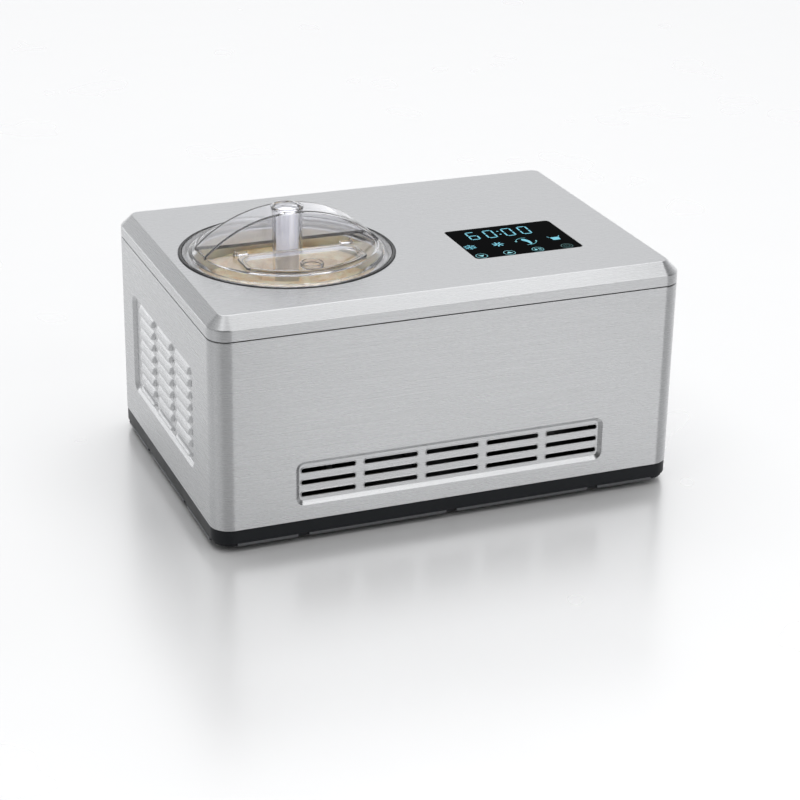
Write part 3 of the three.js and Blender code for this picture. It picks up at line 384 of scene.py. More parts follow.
board_green = moulded("circuit_board", (0.03, 0.16, 0.07), rough=(0.3, 0.45), strength=0.1)
gear_white = moulded("gear_acetal", (0.8, 0.8, 0.76), rough=(0.35, 0.5), strength=0.1, spread=0.06)
handle_white = moulded("handle_plastic", (0.72, 0.73, 0.74), rough=(0.25, 0.35), strength=0.08, spread=0.06)
clear_lid = clear("clear_lid", (0.97, 0.97, 0.99), weight=0.96)
clear_cap = clear("clear_cap", (0.97, 0.97, 0.99), weight=0.97)


# ---------------------------------------------------------------- walls of the housing
def on_front(u, v, inward=0.0):
    return (u, -D / 2 + inward, v)


def on_left(u, v, inward=0.0):
    return (-W / 2 + inward, u, v)


def on_right(u, v, inward=0.0):
    return (W / 2 - inward, u, v)


def on_rear(u, v, inward=0.0):
    return (u, PANEL_HIGH.y - inward, v)


EDGE = filleted([(1.3, 0, 0), (0, 0, 0.6), (0, 3, 0)], 4)  # a turned-in sheet edge, as (inset, height) rows
RECESS = filleted([(0, 0, 0), (0.3, 0, 0.4), (3.7, 2.5, 0.5), (4.3, 2.5, 0)], 5)  # its wall, as (inset, depth) rows
SLOT_EDGE = filleted([(-1.1, 0, 0), (-0.7, -0.6, 0.3), (-0.1, -0.4, 0.3), (0, 1.2, 0)], 4)


def ring_rows(place, w, h, r, u, v, profile, base=0.0, steps=10):
    return [
        [place(pu, pv, base + depth) for pu, pv in round_rect(w - 2 * inset, h - 2 * inset, r - inset, u, v, steps)]
        for inset, depth in profile
    ]


def slots(skin, place, centres, length, height, base):
    """Rolled slot edges going inward from depth base. Returns the outlines to leave out of the sheet."""
    outlines = []
    for u, v in centres:
        skin.loft(ring_rows(place, length, height, height / 2, u, v, SLOT_EDGE, base, steps=5))
        grown = -SLOT_EDGE[0][0]
        outlines.append(round_rect(length + 2 * grown, height + 2 * grown, height / 2 + grown, u, v, 5))
    return outlines


def recess(skin, place, u, v, length, height, corner, holes):
    """A pressed recess. holes makes its openings at the floor's depth and returns their outlines."""
    skin.loft(ring_rows(place, length, height, corner, u, v, RECESS))
    inset, depth = RECESS[-1]
    floor = round_rect(length - 2 * inset, height - 2 * inset, corner - inset, u, v)
    skin.fill([floor, *holes(depth)], lambda a, b: place(a, b, depth))
    return round_rect(length, height, corner, u, v)


def grid(columns, rows, pitch_across, pitch_up, u, v):
    return [
        (u + (i - (columns - 1) / 2) * pitch_across, v + (j - (rows - 1) / 2) * pitch_up)
        for j in range(rows)
        for i in range(columns)
    ]


def louvre(skin, place, u, v, length, height, base, rise=2.8):
    """A pressed hood: it rises from the recess floor to a lower edge. A near-black face closes that edge: painted shade
    standing in for the dark slit.
    """
    across, down, end = 28, 7, 6.0
    rows = []
    for i in range(down + 1):
        t = i / down
        row = []
        for j in range(across + 1):
            off = (j / across - 0.5) * length
            near_end = 1 - min(1, (length / 2 - abs(off)) / end)
            bulge = rise * math.sin(math.pi / 2 * t) ** 0.8 * math.sqrt(max(0, 1 - near_end ** 2))
            row.append(place(u + off, v + height * (1 - t) + 1.2 * t * near_end ** 2, base - bulge))
        rows.append(row)
    made = skin.loft(rows, closed=False)
    # A near-black face from the hood's lower edge back to the floor: painted shade in place of the open slit.
    skin.material = 1
    skin.bridge(
        made[-1], skin.row(place(u + (j / across - 0.5) * length, v + 0.5, base) for j in range(across + 1)),
        closed=False
    )
    skin.material = 0


def wall(skin, place, half, low, high, hole):
    sheet = [(-half, low), (half, low), (half, high), (-half, high)]
    skin.fill([sheet, hole] if hole else [sheet], place)


def housing_wrap():
    skin = Skin()
    edge = EDGE[-1][1]
    low, high = WRAP_LOW.z, WRAP_HIGH.z
    front_hole = recess(
        skin, on_front, 0, VENT_Z, 284, 41, 8,
        lambda depth: slots(skin, on_front, grid(5, 3, 56.2, 10.9, 0, VENT_Z), 48, 4.1, depth),
    )
    side_holes = []
    for place in (on_left, on_right):
        side_holes.append(recess(skin, place, 6, LOUVRE_Z, 189, 94, 9, lambda depth: []))
        for u, v in grid(3, 8, 55.7, 11.1, 2.3, LOUVRE_Z):
            short = v < LOUVRE_Z - 3.4 * 11.1
            louvre(skin, place, u, v - (1.2 if short else 3.6), 46, 4.2 if short else 8.0, RECESS[-1][1])
    wall(skin, on_front, W / 2 - CORNER, low + edge, high - edge, front_hole)
    wall(skin, on_left, D / 2 - CORNER, low + edge, high - edge, side_holes[0])
    wall(skin, on_right, D / 2 - CORNER, low + edge, high - edge, side_holes[1])
    land = (PANEL_HIGH.x - PANEL_LOW.x) / 2 + 0.3

    def outline(inset, z):
        r = CORNER - inset
        path = [(-land, D / 2 - inset)]
        for sx, sy, start in ((-1, 1, 90), (-1, -1, 180), (1, -1, 270), (1, 1, 360)):
            path += arc(sx * (W / 2 - CORNER), sy * (D / 2 - CORNER), r, start, start + 90, 14)
        return [(x, y, z) for x, y in [*path, (land, D / 2 - inset)]]

    for z, sign in ((low, 1), (high, -1)):
        skin.loft([outline(inset, z + sign * rise) for inset, rise in EDGE], closed=False)
    lower, upper = outline(0, low + edge), outline(0, high - edge)
    corner = 15
    for k in range(4):
        part = slice(1 + k * corner, 1 + (k + 1) * corner)
        skin.loft([lower[part], upper[part]], closed=False)
    for part in (slice(0, 2), slice(-2, None)):
        skin.loft([lower[part], upper[part]], closed=False)
    for s in (-1, 1):
        turn = filleted(
            [
                (s * land, D / 2 - 0.01, 0), (s * land, PANEL_HIGH.y - 1.4, 0),
                (s * (land - 11), PANEL_HIGH.y - 1.4, 0)
            ]
        )
        skin.loft([[(x, y, z) for x, y in turn] for z in (low + 0.4, high - 0.4)], closed=False)
    return skin


add(
    "wrap_sheet", housing_wrap(), [brushed_steel, vent_painted_shade], "housing", slot="brushed_housing",
    replaces=["housing_wrap"]
)


def rear_sheet():
    skin = Skin()
    u, v = (PANEL_LOW.x + PANEL_HIGH.x) / 2, (PANEL_LOW.z + PANEL_HIGH.z) / 2
    w, h = PANEL_HIGH.x - PANEL_LOW.x, PANEL_HIGH.z - PANEL_LOW.z
    slot_z = WRAP_LOW.z + (WRAP_HIGH.z - WRAP_LOW.z) * 0.6
    holes = slots(skin, on_rear, grid(5, 4, 56.2, 14.17, 0, slot_z), 48, 4.1, 0)
    gland = ((GLAND_LOW.x + GLAND_HIGH.x) / 2, (GLAND_LOW.z + GLAND_HIGH.z) / 2)
    holes.append(circle(8.3, *gland, 40))
    profile = filleted([(0, 1, 0), (0, 0, 0.4), (1, 0, 0)], 3)
    skin.loft(ring_rows(on_rear, w, h, 2, u, v, profile))
    skin.fill([round_rect(w - 2, h - 2, 1, u, v), *holes], on_rear)
    return skin


add("rear_sheet", rear_sheet(), [brushed_steel], "housing", slot="brushed_housing", replaces=["rear_panel"])


def panel_screw(name):
    """A domed screw head with a cross recess."""
    low, high = extent(name)
    x, z = (low.x + high.x) / 2, (low.z + high.z) / 2
    r, seat = (high.x - low.x) / 2, PANEL_HIGH.y
    dome = filleted([(0, -1, 0), (r - 0.2, -1, 0), (r, 0.35, 0.3), (r * 0.75, 1.0, 0.9), (0, 1.2, 0)], 4)
    head = Skin()
    head.loft(
        [[(x + px, seat + rise, z + pz) for px, pz in circle(max(reach, 0.001), steps=40)] for reach, rise in dome],
        around=True
    )
    cuts = []
    for w, h in ((0.7, 3.6), (3.6, 0.7)):
        cut = Skin()
        cut.loft(
            [[(x + px, seat + rise, z + pz) for px, pz in round_rect(w, h, 0.2, steps=3)] for rise in (0.5, 2)],
            ends=True
        )
        cuts.append(mesh_of(cut, "cut"))
    return combined([mesh_of(head, name), *cuts], "DIFFERENCE", name)


for place in ("lower_left", "lower_right", "upper_left", "upper_right"):
    name = f"rear_screw_{place}"
    into_scene(panel_screw(name), f"screw_head_{place}", [zinc], "housing", slot="zinc_steel", replaces=[name])


def top_cover():
    skin = Skin()
    profile = filleted(
        [
            (1.4, COVER_LOW.z, 0), (0, COVER_LOW.z, 0.7), (0, TOP - CHAMFER, 1.8), (CHAMFER, TOP, 1.1),
            (CHAMFER + 4, TOP, 0)
        ], 6)
    skin.loft([[(x, y, z) for x, y in round_rect(W - 2 * i, D - 2 * i, CORNER - i, steps=14)] for i, z in profile])
    inset = profile[-1][0]
    outer = round_rect(W - 2 * inset, D - 2 * inset, CORNER - inset, steps=14)
    glass_x, glass_y = (GLASS_LOW.x + GLASS_HIGH.x) / 2, (GLASS_LOW.y + GLASS_HIGH.y) / 2
    glass_w, glass_d = GLASS_HIGH.x - GLASS_LOW.x, GLASS_HIGH.y - GLASS_LOW.y
    window = round_rect(glass_w + 1, glass_d + 1, 4, glass_x, glass_y)
    fold = filleted([(OPENING_R + 1.2, TOP, 0), (OPENING_R, TOP, 1.0), (OPENING_R, TOP - 3.5, 0)], 5)
    lathe(fold, closed=False, skin=skin)
    skin.fill([outer, circle(fold[0][0], AXIS_X, AXIS_Y, 112), window], lambda u, v: (u, v, TOP))
    skin.loft([[(x, y, TOP - drop) for x, y in window] for drop in (0, 1.4)])
    return skin


add("cover_sheet", top_cover(), [brushed_steel], "housing", slot="brushed_housing", replaces=["top_cover"])


def base_tray():
    skin = Skin()
    low, high = TRAY_LOW.z, TRAY_LOW.z + 14.6
    w, d = TRAY_HIGH.x - TRAY_LOW.x, TRAY_HIGH.y - TRAY_LOW.y
    profile = filleted(
        [
            (14, low, 0), (2.0, low, 0.3), (2.0, low + 2.6, 0.3), (0.7, low + 3.0, 0.3), (0, low + 3.4, 0.3),
            (0, high, 0.4), (4, high, 0)
        ], 4)
    skin.loft(
        [[(x, y, z) for x, y in round_rect(w - 2 * i, d - 2 * i, CORNER - 0.4 - i, steps=12)] for i, z in profile]
    )
    inset = profile[0][0]
    edge = round_rect(w - 2 * inset, d - 2 * inset, CORNER - inset, steps=12)
    wells = [round_rect(74, 92, 6, x, y, 4) for x in (-120, -40, 40, 120) for y in (-60, 60)]
    skin.fill([edge, *wells], lambda u, v: (u, v, low))
    for x in (-120, -40, 40, 120):
        for y in (-60, 60):
            rows = [
                [(px, py, low + rise) for px, py in round_rect(74 - 2 * i, 92 - 2 * i, 6 - i, x, y, 4)] for i,
                rise in ((0, 0), (0.8, 1.4))
            ]
            made = skin.loft(rows)
            skin.face(made[-1])
    return skin


add("base_shell", base_tray(), [base_black], "housing", slot="base_plastic", replaces=["base_tray"])


def base_lip():
    """Strips that run under the base shell, with gaps between them. Their light grey is a painted highlight along the
    base's lower edge.
    """
    low = TRAY_LOW.z
    section = filleted(
        [
            (3.4, low + 0.1, 0), (0.5, low + 0.1, 0.4), (0.2, low + 2.6, 0.4), (2.6, low + 3.1, 0.2),
            (3.4, low + 3.1, 0)
        ],
        4
    )
    skin = Skin()
    for span, reach, runs in (
        (W, D, [(-193, -140), (-130, -5), (5, 130), (140, 193)]), (D, W, [(-128, -62), (-52, 52), (62, 128)])):
        for side in (-1, 1):
            for run in runs:
                rows = [[(u, side * (reach / 2 - inset), z) for inset, z in section] for u in run]
                skin.loft([[p if span == W else (p[1], p[0], p[2]) for p in row] for row in rows], ends=True)
    return skin


# A lighter copy of the base's black plastic: painted highlight for the light that the lower edge catches.
lip_painted_highlight = moulded("base_lip_painted_highlight", (0.11, 0.116, 0.124), rough=(0.35, 0.5), spread=0.3)
add("base_lip", base_lip(), [lip_painted_highlight], "housing", slot="base_plastic")


def foot(name):
    low, high = extent(name)
    x, y = (low.x + high.x) / 2, (low.y + high.y) / 2
    r = (high.x - low.x) / 2
    profile = filleted(
        [
            (0, 0.6, 0), (r - 5, 0.6, 0.2), (r - 4.4, 0, 0.2), (r - 1.4, 0, 1.0), (r, 1.4, 0.6),
            (r - 0.8, 4.7, 0.3), (0, 4.7, 0)
        ], 4)
    return lathe(profile, 48, x, y, closed=False)


for place in ("front_left", "front_right", "rear_left", "rear_right"):
    add(
        f"rubber_foot_{place}", foot(f"foot_{place}"), [rubber], "housing", slot="foot_rubber",
        replaces=[f"foot_{place}"]
    )


def seat_ring():
    inner, outer = LID_R + 0.7, OPENING_R - 0.6
    profile = filleted(
        [(inner - 3.3, TOP - 2.2, 0), (inner, TOP - 2.2, 0.1), (inner, TOP + 0.5, 0.5), (inner + 0.9, TOP + 0.5, 0.25),
         (inner + 1.1, TOP, 0.15), (inner + 1.4, TOP, 0.15), (
             inner + 1.6, TOP + 0.5, 0.25
         ), (outer, TOP + 0.5, 0.5), (outer, TOP - 4, 0),
         (outer - 1.2, TOP - 4.6, 0), (outer - 1.2, RIM - 1.2, 0), (inner - 3.3, RIM - 1.2, 0)], 3)
    return lathe(profile)


add("seat_ring", seat_ring(), [ring_black], "housing", slot="ring_plastic", replaces=["bowl_seat_ring"])


# ---------------------------------------------------------------- bowl, handle, paddle and ice cream
def bowl_shell():
    low = BOWL_LOW.z
    floor, rim = low + 1.8, RIM
    profile = filleted(
        [(6.2, low, 0), (73.8, low, 1), (78.8, low + 5, 3), (81.8, rim - 1.8, 1.2), (87.5, rim - 1.8, 0.7),
         (87.5, rim, 0.8),
         (80, rim, 1.6), (77, floor + 5, 4), (72, floor, 3), (7.6, floor, 2), (
             7.6, RIM - 21, 0.6
         ), (6.2, RIM - 21, 0.4)], 5)
    skin = lathe(profile)
    for s in (-1, 1):
        x = AXIS_X + s * 82
        rows = [[(px, py, z) for px, py in round_rect(1.6 - 2 * i, 6 - 2 * i, 0.6, x, AXIS_Y, 4)]
                for i, z in ((0, rim - 0.2), (0, rim + 3.4), (0.4, rim + 4.1))]
        skin.loft(rows, ends=True)
        pin = circle(1.1, AXIS_Y, rim + 2.4, 16)
        skin.loft([[(AXIS_X + s * reach, py, pz) for py, pz in pin] for reach in (81.2, 87.0)], ends=True)
    return skin


add("bowl_shell", bowl_shell(), [bowl_metal], "ice_bowl", slot="bowl_aluminium", replaces=["ice_bowl"])


def bail():
    skin = Skin()
    r, z = 85, RIM + 2.4
    section = round_rect(2.6, 3, 0.9, steps=4)
    rows = []
    for i in range(65):
        a = math.pi * i / 64
        rows.append([(AXIS_X + (r + u) * math.cos(a), AXIS_Y + (r + u) * math.sin(a), z + v) for u, v in section])
    skin.loft(rows, ends=True)
    for s in (-1, 1):
        outer, inner = (circle(radius, AXIS_Y, z, 24) for radius in (2.0, 1.4))  # the eye at each end
        x0, x1 = AXIS_X + s * r - 1.3, AXIS_X + s * r + 1.3
        skin.loft(
            [[(x, py, pz) for py, pz in loop] for x, loop in ((x0, outer), (x1, outer), (x1, inner), (x0, inner))],
            around=True
        )
    return skin


add("bail_handle", bail(), [handle_white], "bowl_handle", slot="handle_plastic", replaces=["bowl_handle"])

paddle_clear = moulded("paddle_plastic", (0.90, 0.82, 0.62), rough=(0.22, 0.32), strength=0.06, spread=0.05)
paddle_clear.node_tree.nodes["Principled BSDF"].inputs["Transmission Weight"].default_value = 0.25


def paddle():
    skin = Skin()
    low, high = PADDLE_LOW.z, PADDLE_HIGH.z
    profile = filleted(
        [(8.7, low, 0), (11, low, 0.5), (11, high - 30, 0.5), (10.2, high - 28, 0.5), (10.2, high, 1.2),
         (3.5, high, 0.4), (3.5, high - 3, 0.2),
         (0, high - 3, 0), (0, RIM - 20, 0), (8.7, RIM - 20, 0)], 4)
    lathe(profile, 64, skin=skin)
    blades = [
        [(10, 0), (69, 0), (74, 6), (75, 88), (68, 88), (66, 16), (30, 12), (10, 34)],
        [(10, 62), (68, 76), (68, 83), (10, 70)],
        [(-10, 0), (-52, 0), (-58, 5), (-50, 58), (-41, 58), (-44, 14), (-24, 12), (-10, 26)],
    ]
    for blade in blades:
        outline = filleted([(*p, 2.0) for p in [*blade, blade[0], blade[1]]], 3)[1:-1]
        rows = []
        centre = Vector((sum(p[0] for p in outline) / len(outline), sum(p[1] for p in outline) / len(outline)))
        for y, shrink in ((-1.6, 0.5), (-1.1, 0), (1.1, 0), (1.6, 0.5)):
            row = []
            for p in outline:
                q = Vector(p)
                q += (centre - q).normalized() * shrink
                row.append((AXIS_X + q.x, AXIS_Y + y, low + q.y))
            rows.append(row)
        skin.loft(rows, ends=True)
    return skin


add("paddle_body", paddle(), [paddle_clear], "mixing_paddle", slot="paddle_plastic", replaces=["mixing_paddle"])


def cream_material():
    material, tree, shader = new_material("vanilla_ice_cream")
    folds = grain(tree, (60, 60, 60), detail=5)
    crystals = grain(tree, (900, 900, 900), detail=3)
    tree.links.new(
        mix_shades(tree, ramp(tree, folds, 0, 1, 0.4, 0.6), (0.80, 0.53, 0.22), (0.98, 0.85, 0.55)),
        shader.inputs["Base Color"]
    )
    tree.links.new(ramp(tree, folds, 0.38, 0.55, 0.3, 0.7), shader.inputs["Roughness"])
    shader.inputs["Subsurface Weight"].default_value = 0.35
    shader.inputs["Subsurface Radius"].default_value = (1.0, 0.7, 0.4)
    shader.inputs["Subsurface Scale"].default_value = 0.004
    both = node(tree, "ShaderNodeMath", {0: folds, 1: crystals}, operation="MULTIPLY_ADD")
    both.inputs[1].default_value = 1.0
    tree.links.new(crystals, both.inputs[2])
    bump(tree, shader, both.outputs[0], 0.35, 0.5)
    return material


def ice_cream():
    """The churned contents: folds that wind round the paddle, a furrow behind its scraper, and a smooth bowl side."""
    skin = Skin()
    around, across = 160, 56
    level, inner = RIM - 15, 11.6
    floor = BOWL_LOW.z + 2.2

    def wall_radius(z):
        return 77 + 3 * (z - floor) / (RIM - floor) - 0.35

    outer = wall_radius(level)
    rows = []
    for j in range(across + 1):
        s = j / across
        r = inner + (outer - inner) * s
        row = []
        for i in range(around):
            a = 2 * math.pi * i / around
            x, y = r * math.cos(a), r * math.sin(a)
            wind = math.sin(2 * a + r * 0.075 + 1.1 * noise.noise(Vector((x, y, 7)) * 0.03))
            fold = abs(math.sin(1.5 * a + r * 0.11 + 2.0 * noise.noise(Vector((x, y, 3)) * 0.035))) ** 0.7
            lumps = noise.fractal(Vector((x, y, 11)) * 0.045, 0.9, 2.1, 5)
            middle = math.sin(math.pi * min(1, 1.15 * s)) ** 0.8
            z = level + middle * (2.6 * wind + 3.4 * fold + 3.2 * lumps) - 2.0 * (1 - s) ** 3
            z -= 3.0 * max(0, s - 0.93) / 0.07
            row.append((AXIS_X + x, AXIS_Y + y, min(z, TOP - 4.5)))
        rows.append(row)

    def ring(r, z):
        return [(px, py, z) for px, py in circle(r, AXIS_X, AXIS_Y, around)]

    base = floor + 0.2
    rows += [ring(wall_radius(z), z) for z in (level - 12, (level + base) / 2, base + 6)]
    rows += [ring(71, base), ring(inner, base), ring(inner, level - 12)]
    skin.loft(rows, around=True)
    return skin


add("ice_cream", ice_cream(), [cream_material()], "ice_bowl", sharp=180)


# ---------------------------------------------------------------- lid and refill cap
CAP_BACK = -21.0
CAP_CORNER = 7.0
BARREL = 50.0


def cap_outline(grow):
    r = CROWN_R - 3 + grow
    half = (CAP_HIGH.x - CAP_LOW.x) / 2 + grow
    swing = math.degrees(math.acos(half / r))
    back = CAP_BACK + grow
    rough = [(-half + CAP_CORNER, back, 3), (-half, back - CAP_CORNER, 5)]
    bow = arc(0, 0, r, 180 + swing, 360 - swing, 36)
    rough += [(*bow[0], 4), *[(*p, 0) for p in bow[1:-1]], (*bow[-1], 4)]
    rough += [(half, back - CAP_CORNER, 5), (half - CAP_CORNER, back, 3)]
    closed = filleted([*rough, rough[0], rough[1]], 4)[1:-1]
    return [(AXIS_X + x, AXIS_Y + y) for x, y in closed]


def slab(outline_at, levels):
    """A closed solid through outlines at several heights: rows of (grow, z)."""
    skin = Skin()
    skin.loft([[(x, y, z) for x, y in outline_at(grow)] for grow, z in levels], ends=True)
    return skin


def arch(inset, overhang=0.0):
    """The bridge grip as a closed block, smaller by inset all round."""
    radius = 113 - inset
    centre = TOP + 40 - 113
    half = CROWN_R - inset
    reach = math.degrees(math.asin(half / radius))
    bow = arc(0, centre, radius, 90 - reach, 90 + reach, 48)
    outline = [
        (-half, FLANGE_TOP - 1 - overhang, 0.01), (half, FLANGE_TOP - 1 - overhang, 0.01)
    ] + [(*p, 0.0) for p in bow]
    profile = filleted([*outline, outline[0], outline[1]], 2)[1:-1]
    span = 15 - inset
    soft = max(0.0, 1.4 - 0.5 * inset)
    rows = []
    middle = Vector((0, centre))
    for y, shrink in (
        (-span, soft), (-span + 0.3 * soft, 0.3 * soft), (-span + soft, 0), (span - soft, 0),
        (span - 0.3 * soft, 0.3 * soft), (span, soft)
    ):
        row = []
        for x, z in profile:
            q = Vector((x, z))
            if z > FLANGE_TOP - 0.9 - overhang:
                q += (middle - q).normalized() * shrink
            row.append((AXIS_X + q.x, AXIS_Y + y, q.y))
        rows.append(row)
    skin = Skin()
    skin.loft(rows, ends=True)
    return skin


def lid_mesh():
    bottom = FLANGE_TOP - 2.4
    outer = filleted(
        [(0, bottom, 0), (LID_R, bottom, 0.4), (LID_R, FLANGE_TOP, 0.9), (CROWN_R + 6, FLANGE_TOP, 1.6),
         (CROWN_R + 3.4, FLANGE_TOP + 1.6, 0.6),
         (CROWN_R, CROWN_TOP, 2.2), (0, CROWN_TOP, 0)], 5)
    inner = filleted(
        [
            (0, bottom - 1, 0), (CROWN_R + 3.2, bottom - 1, 0), (CROWN_R + 1.8, FLANGE_TOP, 0.8),
            (CROWN_R - 2, CROWN_TOP - 2.4, 1.6), (0, CROWN_TOP - 2.4, 0)
        ], 5)
    whole = combined(
        [mesh_of(lathe(outer, closed=False), "crown"), mesh_of(arch(0), "arch")], "UNION", "lid")
    hollow = combined(
        [
            whole, mesh_of(lathe(inner, closed=False), "hollow"), mesh_of(arch(2.2, 6), "arch_hollow")
        ], "DIFFERENCE", "lid")
    hub_low, hub_high = FLANGE_TOP, LID_HIGH.z
    hub = filleted(
        [(0, hub_low, 0), (13.0, hub_low, 0.5), (13.0, hub_high - 4, 2), (14.4, hub_high - 0.9, 0.6),
         (14.0, hub_high, 0.5), (12.2, hub_high, 0.6),
         (11.2, hub_high - 4, 2), (11.2, hub_low + 2, 0.8), (0, hub_low + 2, 0)], 4)
    peg = filleted([(0, hub_low - 3.5, 0), (3, hub_low - 3.5, 0.5), (3, hub_low + 0.5, 0), (0, hub_low + 0.5, 0)], 3)
    bore = [(0, hub_low + 2, 0), (11.2, hub_low + 2, 0), (11.2, hub_high + 5, 0), (0, hub_high + 5, 0)]
    ears = []
    for s in (-1, 1):
        ears.append(mesh_of(slab(
            lambda g, s=s: round_rect(2.4 - 2 * g, 6 - 2 * g, 0.8, AXIS_X + s * (BARREL + 2.6), AXIS_Y - 17.8, 4),
            [(0, CROWN_TOP - 0.5), (0, CROWN_TOP + 4.4), (0.5, CROWN_TOP + 5)]), "ear"))
    joined = combined(
        [
            hollow, mesh_of(lathe(hub, 64, closed=False), "hub"), mesh_of(lathe(peg, 32, closed=False), "peg"),
            *ears
        ], "UNION", "lid")
    refill = slab(cap_outline, [(-2.4, CROWN_TOP - 8), (-2.4, CROWN_TOP + 4)])
    return combined(
        [
            joined, mesh_of(lathe([p[:2] for p in bore], 64, closed=False), "bore"), mesh_of(refill, "refill")
        ], "DIFFERENCE", "lid")


def hub_sleeve():
    low, high = FLANGE_TOP + 1.8, LID_HIGH.z - 4.5
    profile = filleted([(9.6, low, 0), (9.6, high, 0.5), (8.2, high, 0.5), (8.2, low, 0)], 3)
    return lathe(profile, 64)


milky_painted_glow = moulded("milky_sleeve_painted_glow", (0.94, 0.94, 0.96), rough=(0.2, 0.3), strength=0.05, spread=0.03)
tree, shader = milky_painted_glow.node_tree, milky_painted_glow.node_tree.nodes["Principled BSDF"]
# Painted light: the milky sleeve glows with a faint, uneven emission though it is no lamp.
shader.inputs["Emission Color"].default_value = (0.93, 0.93, 1.0, 1)
tree.links.new(ramp(tree, grain(tree, (160, 160, 12)), 0.2, 0.55, 0.35, 0.65), shader.inputs["Emission Strength"])
add("hub_sleeve", hub_sleeve(), [milky_painted_glow], "lid", slot="clear_lid")
into_scene(lid_mesh(), "lid_shell", [clear_lid], "lid", slot="clear_lid", replaces=["lid_dome"], sharp=32)


def cap_mesh():
    plate_z = CROWN_TOP + 0.3
    plate = slab(cap_outline, [(-0.5, plate_z), (0, plate_z + 0.4), (0, plate_z + 1.2), (-0.6, plate_z + 1.8)])
    plug = slab(cap_outline, [(-3.4, plate_z - 3.2), (-3.0, plate_z - 2.8), (-3.0, plate_z + 0.2)])
    pocket = slab(cap_outline, [(-4.6, plate_z - 6), (-4.6, plate_z)])
    grip_y = -(CROWN_R - 3) + 11
    grip = filleted(
        [
            (0, plate_z + 1.4, 0), (10, plate_z + 1.4, 0.2), (10, plate_z + 4.8, 0.8), (8.4, plate_z + 4.8, 0.7),
            (8.4, plate_z + 1.8, 0.5), (0, plate_z + 1.8, 0)
        ],
        4
    )
    skin = lathe(grip, 48, AXIS_X, AXIS_Y + grip_y, closed=False)
    hinge_y, hinge_z = AXIS_Y - 17.8, CROWN_TOP + 2
    knuckle = [
        (hinge_y, hinge_z - 1.7), (hinge_y - 4.8, hinge_z - 1.7), (hinge_y - 4.8, hinge_z + 0.2),
        (hinge_y - 1.2, hinge_z + 0.9)
    ] + [
        (hinge_y + u, hinge_z + v) for u, v in arc(0, 0, 1.9, 100, -80, 10)]
    pin = circle(1.4, hinge_y, hinge_z, 20)
    hinge = []
    for s in (-1, 1):
        barrel, axle = Skin(), Skin()
        barrel.loft([[(AXIS_X + s * x, py, pz) for py, pz in knuckle] for x in (BARREL - 8, BARREL)], ends=True)
        axle.loft([[(AXIS_X + s * x, py, pz) for py, pz in pin] for x in (BARREL - 4, BARREL + 3.5)], ends=True)
        hinge += [mesh_of(barrel, "barrel"), mesh_of(axle, "axle")]
    hollow = combined([mesh_of(plug, "plug"), mesh_of(pocket, "pocket")], "DIFFERENCE", "cap")
    return combined(
        [mesh_of(plate, "plate"), hollow, mesh_of(skin, "grip"), *hinge], "UNION", "cap")


into_scene(cap_mesh(), "cap_shell", [clear_cap], "refill_cap", slot="clear_lid", replaces=["refill_cap"], sharp=32)


# ---------------------------------------------------------------- touch panel
panel_black, tree, shader = new_material("black_glass")
shader.inputs["Base Color"].default_value = (0.0016, 0.0018, 0.002, 1)
tree.links.new(ramp(tree, grain(tree, (40, 40, 40)), 0.03, 0.07, 0.3, 0.7), shader.inputs["Roughness"])
shader.inputs["IOR"].default_value = 1.02
cyan = glowing("display_cyan", (0.16, 0.62, 0.78), 0.6)
pale = glowing("display_pale", (0.25, 0.72, 0.80), 0.55)
dim = glowing("display_dim", (0.06, 0.22, 0.22), 0.45)

GLASS_X, GLASS_Y = (GLASS_LOW.x + GLASS_HIGH.x) / 2, (GLASS_LOW.y + GLASS_HIGH.y) / 2
GLASS_W, GLASS_D = GLASS_HIGH.x - GLASS_LOW.x, GLASS_HIGH.y - GLASS_LOW.y


def glass():
    skin = Skin()
    profile = filleted([(0, GLASS_LOW.z, 0), (0, GLASS_HIGH.z, 0.5), (3, GLASS_HIGH.z, 0)], 4)
    rows = [
        [(x, y, z) for x, y in round_rect(GLASS_W - 2 * i, GLASS_D - 2 * i, 3.6 - i, GLASS_X, GLASS_Y)] for i,
        z in profile
    ]
    skin.loft(rows, ends=True)
    return skin


add("panel_glass", glass(), [panel_black], "housing", slot="panel_glass", replaces=["control_glass"])


class Print:
    """Flat signs a hair above the glass, from outlines in mm about the glass's middle."""

    def __init__(self):
        self.skin = Skin()

    def shape(self, *loops):
        self.skin.fill(loops, lambda u, v: (GLASS_X + u, GLASS_Y + v, GLASS_HIGH.z + 0.03))

    def line(self, a, b, width=0.55):
        a, b = Vector(a), Vector(b)
        along = (b - a).normalized() * width / 2
        across = Vector((-along.y, along.x))
        corners = [a - along - across, b + along - across, b + along + across, a - along + across]
        self.shape([tuple(c) for c in corners])

    def path(self, points, width=0.55, closed=False):
        for a, b in zip(points, points[1:] + (points[:1] if closed else [])):
            self.line(a, b, width)

    def ring(self, x, y, r, width=0.5):
        self.shape(circle(r, x, y, 36), circle(r - width, x, y, 36))

    def dot(self, x, y, r):
        self.shape(circle(r, x, y, 20))


SEGMENTS = {"0": "abcdef", "6": "acdefg"}


def digit(sign, value, x, y, w=8.2, h=18.4, lean=0.04):
    t, g = 1.45, 0.4
    spans = {
        "a": ((0, h), (w, h)), "g": ((0, h / 2), (w, h / 2)), "d": ((0, 0), (w, 0)),
        "f": ((0, h / 2), (0, h)), "b": ((w, h / 2), (w, h)), "e": ((0, 0), (0, h / 2)), "c": ((w, 0), (w, h / 2)),
    }
    for name in SEGMENTS[value]:
        a, b = (Vector(p) for p in spans[name])
        along = (b - a).normalized()
        across = Vector((-along.y, along.x)) * t / 2
        a, b = a + along * g, b - along * g
        tip = along * t / 2
        outline = [a, a + tip + across, b - tip + across, b, b - tip - across, a + tip - across]
        sign.shape([(x + p.x + lean * p.y, y + p.y) for p in outline])


